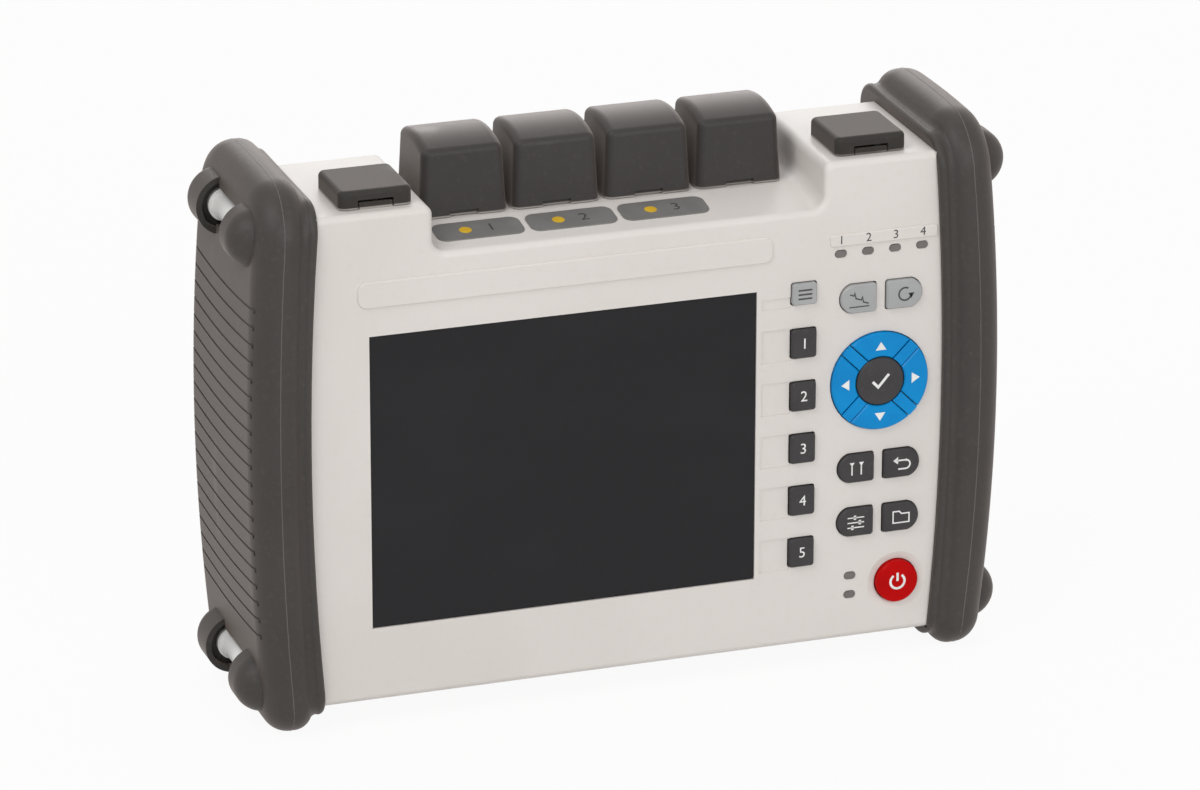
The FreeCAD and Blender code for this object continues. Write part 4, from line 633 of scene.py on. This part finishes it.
keyMark("back_key", whiteInk,
        [line((-1.6, 1.0), (1.2, 1.0), *arcPoints((1.2, -0.4), 1.4, 90, -90, 14), (-1.2, -1.8),
              width=widths["back"])],
        [[(-2.9, 1.0), (-1.3, 2.2), (-1.3, -0.2)]])
knobs = ((-1.1, -1.6), (1.3, 0), (-0.3, 1.6))
keyMark("setup_key", whiteInk,
        [line((-2.7, row), (2.7, row), width=widths["slider"]) for place, row in knobs] +
        [line((place, row - 0.7), (place, row + 0.7), width=widths["knob"]) for place, row in knobs])
keyMark("file_key", whiteInk,
        [line((-2.6, -1.8), (2.6, -1.8), (2.6, 1.1), (0.1, 1.1), (-0.6, 1.9), (-2.6, 1.9),
              width=widths["folder"], closed=True)])
keyMark("ok_key", whiteInk,
        [line((-2.5, 0.1), (-0.7, -1.8), (2.7, 2.1), width=widths["tick"])])
powerMark = {"radius": 2.3, "width": 0.75, "up": 0.1, "gap": 70, "bar": (0.1, 2.8)}
keyMark("power_key", whiteInk,
        [line(*arcPoints((0, 0), powerMark["radius"], 90 + powerMark["gap"] / 2, 450 - powerMark["gap"] / 2),
              width=powerMark["width"]),
         line(*((0, end) for end in powerMark["bar"]), width=powerMark["width"])], up=powerMark["up"])
arrowMark = {"reach": 1.3, "half": 1.7, "out": 0.2}
tip = arrowMark["out"] + arrowMark["reach"]
base = arrowMark["out"] - arrowMark["reach"]
half = arrowMark["half"]
for direction, (dx, dz) in {"right": (1, 0), "up": (0, 1), "left": (-1, 0), "down": (0, -1)}.items():
    keyMark("arrow_key_" + direction, whiteInk, fills=[
        [(tip * dx, tip * dz), (base * dx - half * dz, base * dz + half * dx),
         (base * dx + half * dz, base * dz - half * dx)]])
print("key marks pressed on")

dressBumper("left_bumper", -1)
dressBumper("right_bumper", 1)
print("bumper creases filled")

# figures over the status lenses, on their low strip: height, thick and lift in mm, the others in metres
captions = {"count": 4, "height": 2.7, "thick": 0.07, "lift": 0.03, "up": 0.0044,
            "ahead": 0.0004, "endShare": 1.6}
lensLow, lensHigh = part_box("status_lenses")
lensEnd = (lensHigh.z - lensLow.z) / 2 * captions["endShare"]
for i in range(captions["count"]):
    across = lensLow.x + lensEnd + (lensHigh.x - lensLow.x - 2 * lensEnd) * i / (captions["count"] - 1)
    place = Vector((across, lensLow.y - captions["ahead"], (lensLow.z + lensHigh.z) / 2 + captions["up"]))
    name = "lens_figure_%d" % (i + 1)
    figure = numeralMesh(name, str(i + 1), captions["height"], captions["lift"], captions["thick"],
                         onSheet(place))
    pressOn(name, figure, darkInk, "housing")

# the label plates on the sloping ledge: a figure and a dot on each, in mm; level is in metres
labelMarks = {"height": 4.2, "thick": 0.07, "lift": 0.03, "dot": 1.9, "shift": 4.0, "sides": 24,
              "level": 0.00002, "steep": 0.5}
labelMesh = nodes["port_labels"].data


def islands(mesh):
    # the separate solids of a mesh, as lists of vertex places
    parent = list(range(len(mesh.vertices)))

    def root(i):
        while parent[i] != i:
            parent[i] = parent[parent[i]]
            i = parent[i]
        return i
    spots = {}
    for vertex in mesh.vertices:
        key = tuple(round(c, 6) for c in vertex.co)
        if key in spots:
            parent[root(vertex.index)] = root(spots[key])
        spots[key] = vertex.index
    for edge in mesh.edges:
        parent[root(edge.vertices[0])] = root(edge.vertices[1])
    groups = {}
    for vertex in mesh.vertices:
        groups.setdefault(root(vertex.index), []).append(vertex.co.copy())
    return list(groups.values())


plates = sorted(islands(labelMesh), key=lambda group: sum(p.x for p in group) / len(group))
plateOut = Vector((0, 0, 0))
for polygon in labelMesh.polygons:
    if polygon.normal.z > labelMarks["steep"]:
        plateOut += polygon.normal * polygon.area
plateOut.normalize()
plateUp = plateOut.cross(Vector((-1, 0, 0)))
plateUp = plateUp if plateUp.z > 0 else -plateUp
for number, group in enumerate(plates, start=1):
    top = max(p.dot(plateOut) for p in group)
    onTop = [p for p in group if p.dot(plateOut) > top - labelMarks["level"]]
    middle = sum(onTop, Vector()) / len(onTop)
    middle.x = (min(p.x for p in onTop) + max(p.x for p in onTop)) / 2
    rise = [p.dot(plateUp) for p in onTop]
    middle += plateUp * ((min(rise) + max(rise)) / 2 - middle.dot(plateUp))

    name = "label_figure_%d" % number
    beside = Vector((labelMarks["shift"], 0, 0)) * mm
    figure = numeralMesh(name, str(number), labelMarks["height"], labelMarks["lift"], labelMarks["thick"],
                         onSheet(middle + beside, plateUp, plateOut))
    pressOn(name, figure, darkInk, "housing")
    name = "label_dot_%d" % number
    turn = 360 / labelMarks["sides"]
    dot = arcPoints((0, 0), labelMarks["dot"], 0, 360 - turn, labelMarks["sides"] - 1)
    mesh = inkMesh(name, [], [dot], labelMarks["lift"], labelMarks["thick"],
                   onSheet(middle - beside, plateUp, plateOut))
    pressOn(name, mesh, yellowInk, "housing")
print("prints on the housing:", captions["count"], "figures,", len(plates), "labels")

# dark pads of the lid rubber set in the service caps' notches: painted shade inside the notches, sizes in mm
notchShade = {"half": 5.0, "low": -0.25, "high": 1.62, "corner": 0.5, "proud": -0.1, "thick": 1.25, "turns": 6}
cornerAt = (notchShade["half"] - notchShade["corner"], notchShade["high"] - notchShade["corner"])
outline = [(-notchShade["half"], notchShade["low"]), (notchShade["half"], notchShade["low"]),
           *arcPoints(cornerAt, notchShade["corner"], 0, 90, notchShade["turns"]),
           *arcPoints((-cornerAt[0], cornerAt[1]), notchShade["corner"], 90, 180, notchShade["turns"])]
for cap in ("left_service_cap", "right_service_cap"):
    capLow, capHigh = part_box(cap)
    middle = Vector(((capLow.x + capHigh.x) / 2, capLow.y, capLow.z))
    pad = inkMesh(cap + "_notch_shade_pad", [], [outline], notchShade["proud"], notchShade["thick"], onSheet(middle))
    pressOn(cap + "_notch_shade_pad", pad, lidRubber, "housing")
print("latch pads set")

def shownTo(paint):
    # 1 on a ray from the camera, a reflection or through glass, 0 on the light that falls on the object
    rays = ("Is Camera Ray", "Is Glossy Ray", "Is Transmission Ray")
    seen, mirrored, passed = [paint.add("ShaderNodeLightPath", out=ray) for ray in rays]
    return seen + mirrored + passed


# stage: pale floor that shows white to the camera and in reflections, and keeps a soft shadow
floorSpec = {"size": 12.0, "down": 0.0002, "shown": 0.93, "colour": (0.8, 0.8, 0.79, 1)}
bpy.ops.mesh.primitive_plane_add(size=floorSpec["size"], location=(0, 0, -floorSpec["down"]))
floor = bpy.context.object
floor.name = "studioFloor"
paint = Paint("studioFloor")
plain = paint.add("ShaderNodeBsdfDiffuse", values={"Color": floorSpec["colour"]})
glow = paint.add("ShaderNodeEmission", values={"Color": (1, 1, 1, 1), "Strength": 1.0})
floor.data.materials.append(paint.show(
    paint.add("ShaderNodeMixShader", values=[shownTo(paint) * floorSpec["shown"], plain, glow])))

world = bpy.data.worlds.new("studio")
bpy.context.scene.world = world
world.use_nodes = True
skySpec = {"fill": 0.42}
paint = Paint("studio", world.node_tree)
strength = shownTo(paint) * (1 - skySpec["fill"]) + skySpec["fill"]
sky = paint.add("ShaderNodeBackground", values={"Color": (1, 1, 1, 1), "Strength": strength})
paint.show(sky, "ShaderNodeOutputWorld")

lamps = {
    "keyLamp": {"at": (-1.5, -1.0, 2.1), "size": 1.3, "power": 25},
    "frontLamp": {"at": (0.5, -2.6, 1.0), "size": 1.6, "power": 25},
    "topLamp": {"at": (0.1, 0.5, 2.4), "size": 1.6, "power": 4},
    "backLamp": {"at": (0.8, 2.6, 1.2), "size": 1.8, "power": 28},
}
aim = Vector((0, 0, 0.09))    # middle of the object
for name, spec in lamps.items():
    lamp = bpy.data.lights.new(name, "AREA")
    lamp.shape = "SQUARE"
    lamp.size = spec["size"]
    lamp.energy = spec["power"]
    holder = bpy.data.objects.new(name, lamp)
    bpy.context.scene.collection.objects.link(holder)
    holder.location = spec["at"]
    holder.rotation_euler = (aim - Vector(spec["at"])).to_track_quat("-Z", "Y").to_euler()

cameraSpec = {"at": (-0.5991, -1.7408, 0.7779), "turn": -19.019, "down": 20.627, "roll": 0.064,
              "lens": 194.94, "sensor": 36, "nearest": 0.05}
camera = bpy.data.cameras.new("camera")
camera.lens = cameraSpec["lens"]
camera.sensor_width = cameraSpec["sensor"]
camera.clip_start = cameraSpec["nearest"]
viewer = bpy.data.objects.new("camera", camera)
bpy.context.scene.collection.objects.link(viewer)
viewer.matrix_world = (Matrix.Translation(cameraSpec["at"])
                       @ Matrix.Rotation(math.radians(cameraSpec["turn"]), 4, "Z")
                       @ Matrix.Rotation(math.radians(90 - cameraSpec["down"]), 4, "X")
                       @ Matrix.Rotation(math.radians(cameraSpec["roll"]), 4, "Z"))
bpy.context.scene.camera = viewer
bpy.context.scene.view_settings.view_transform = "Standard"
print("stage, lamps and camera set")
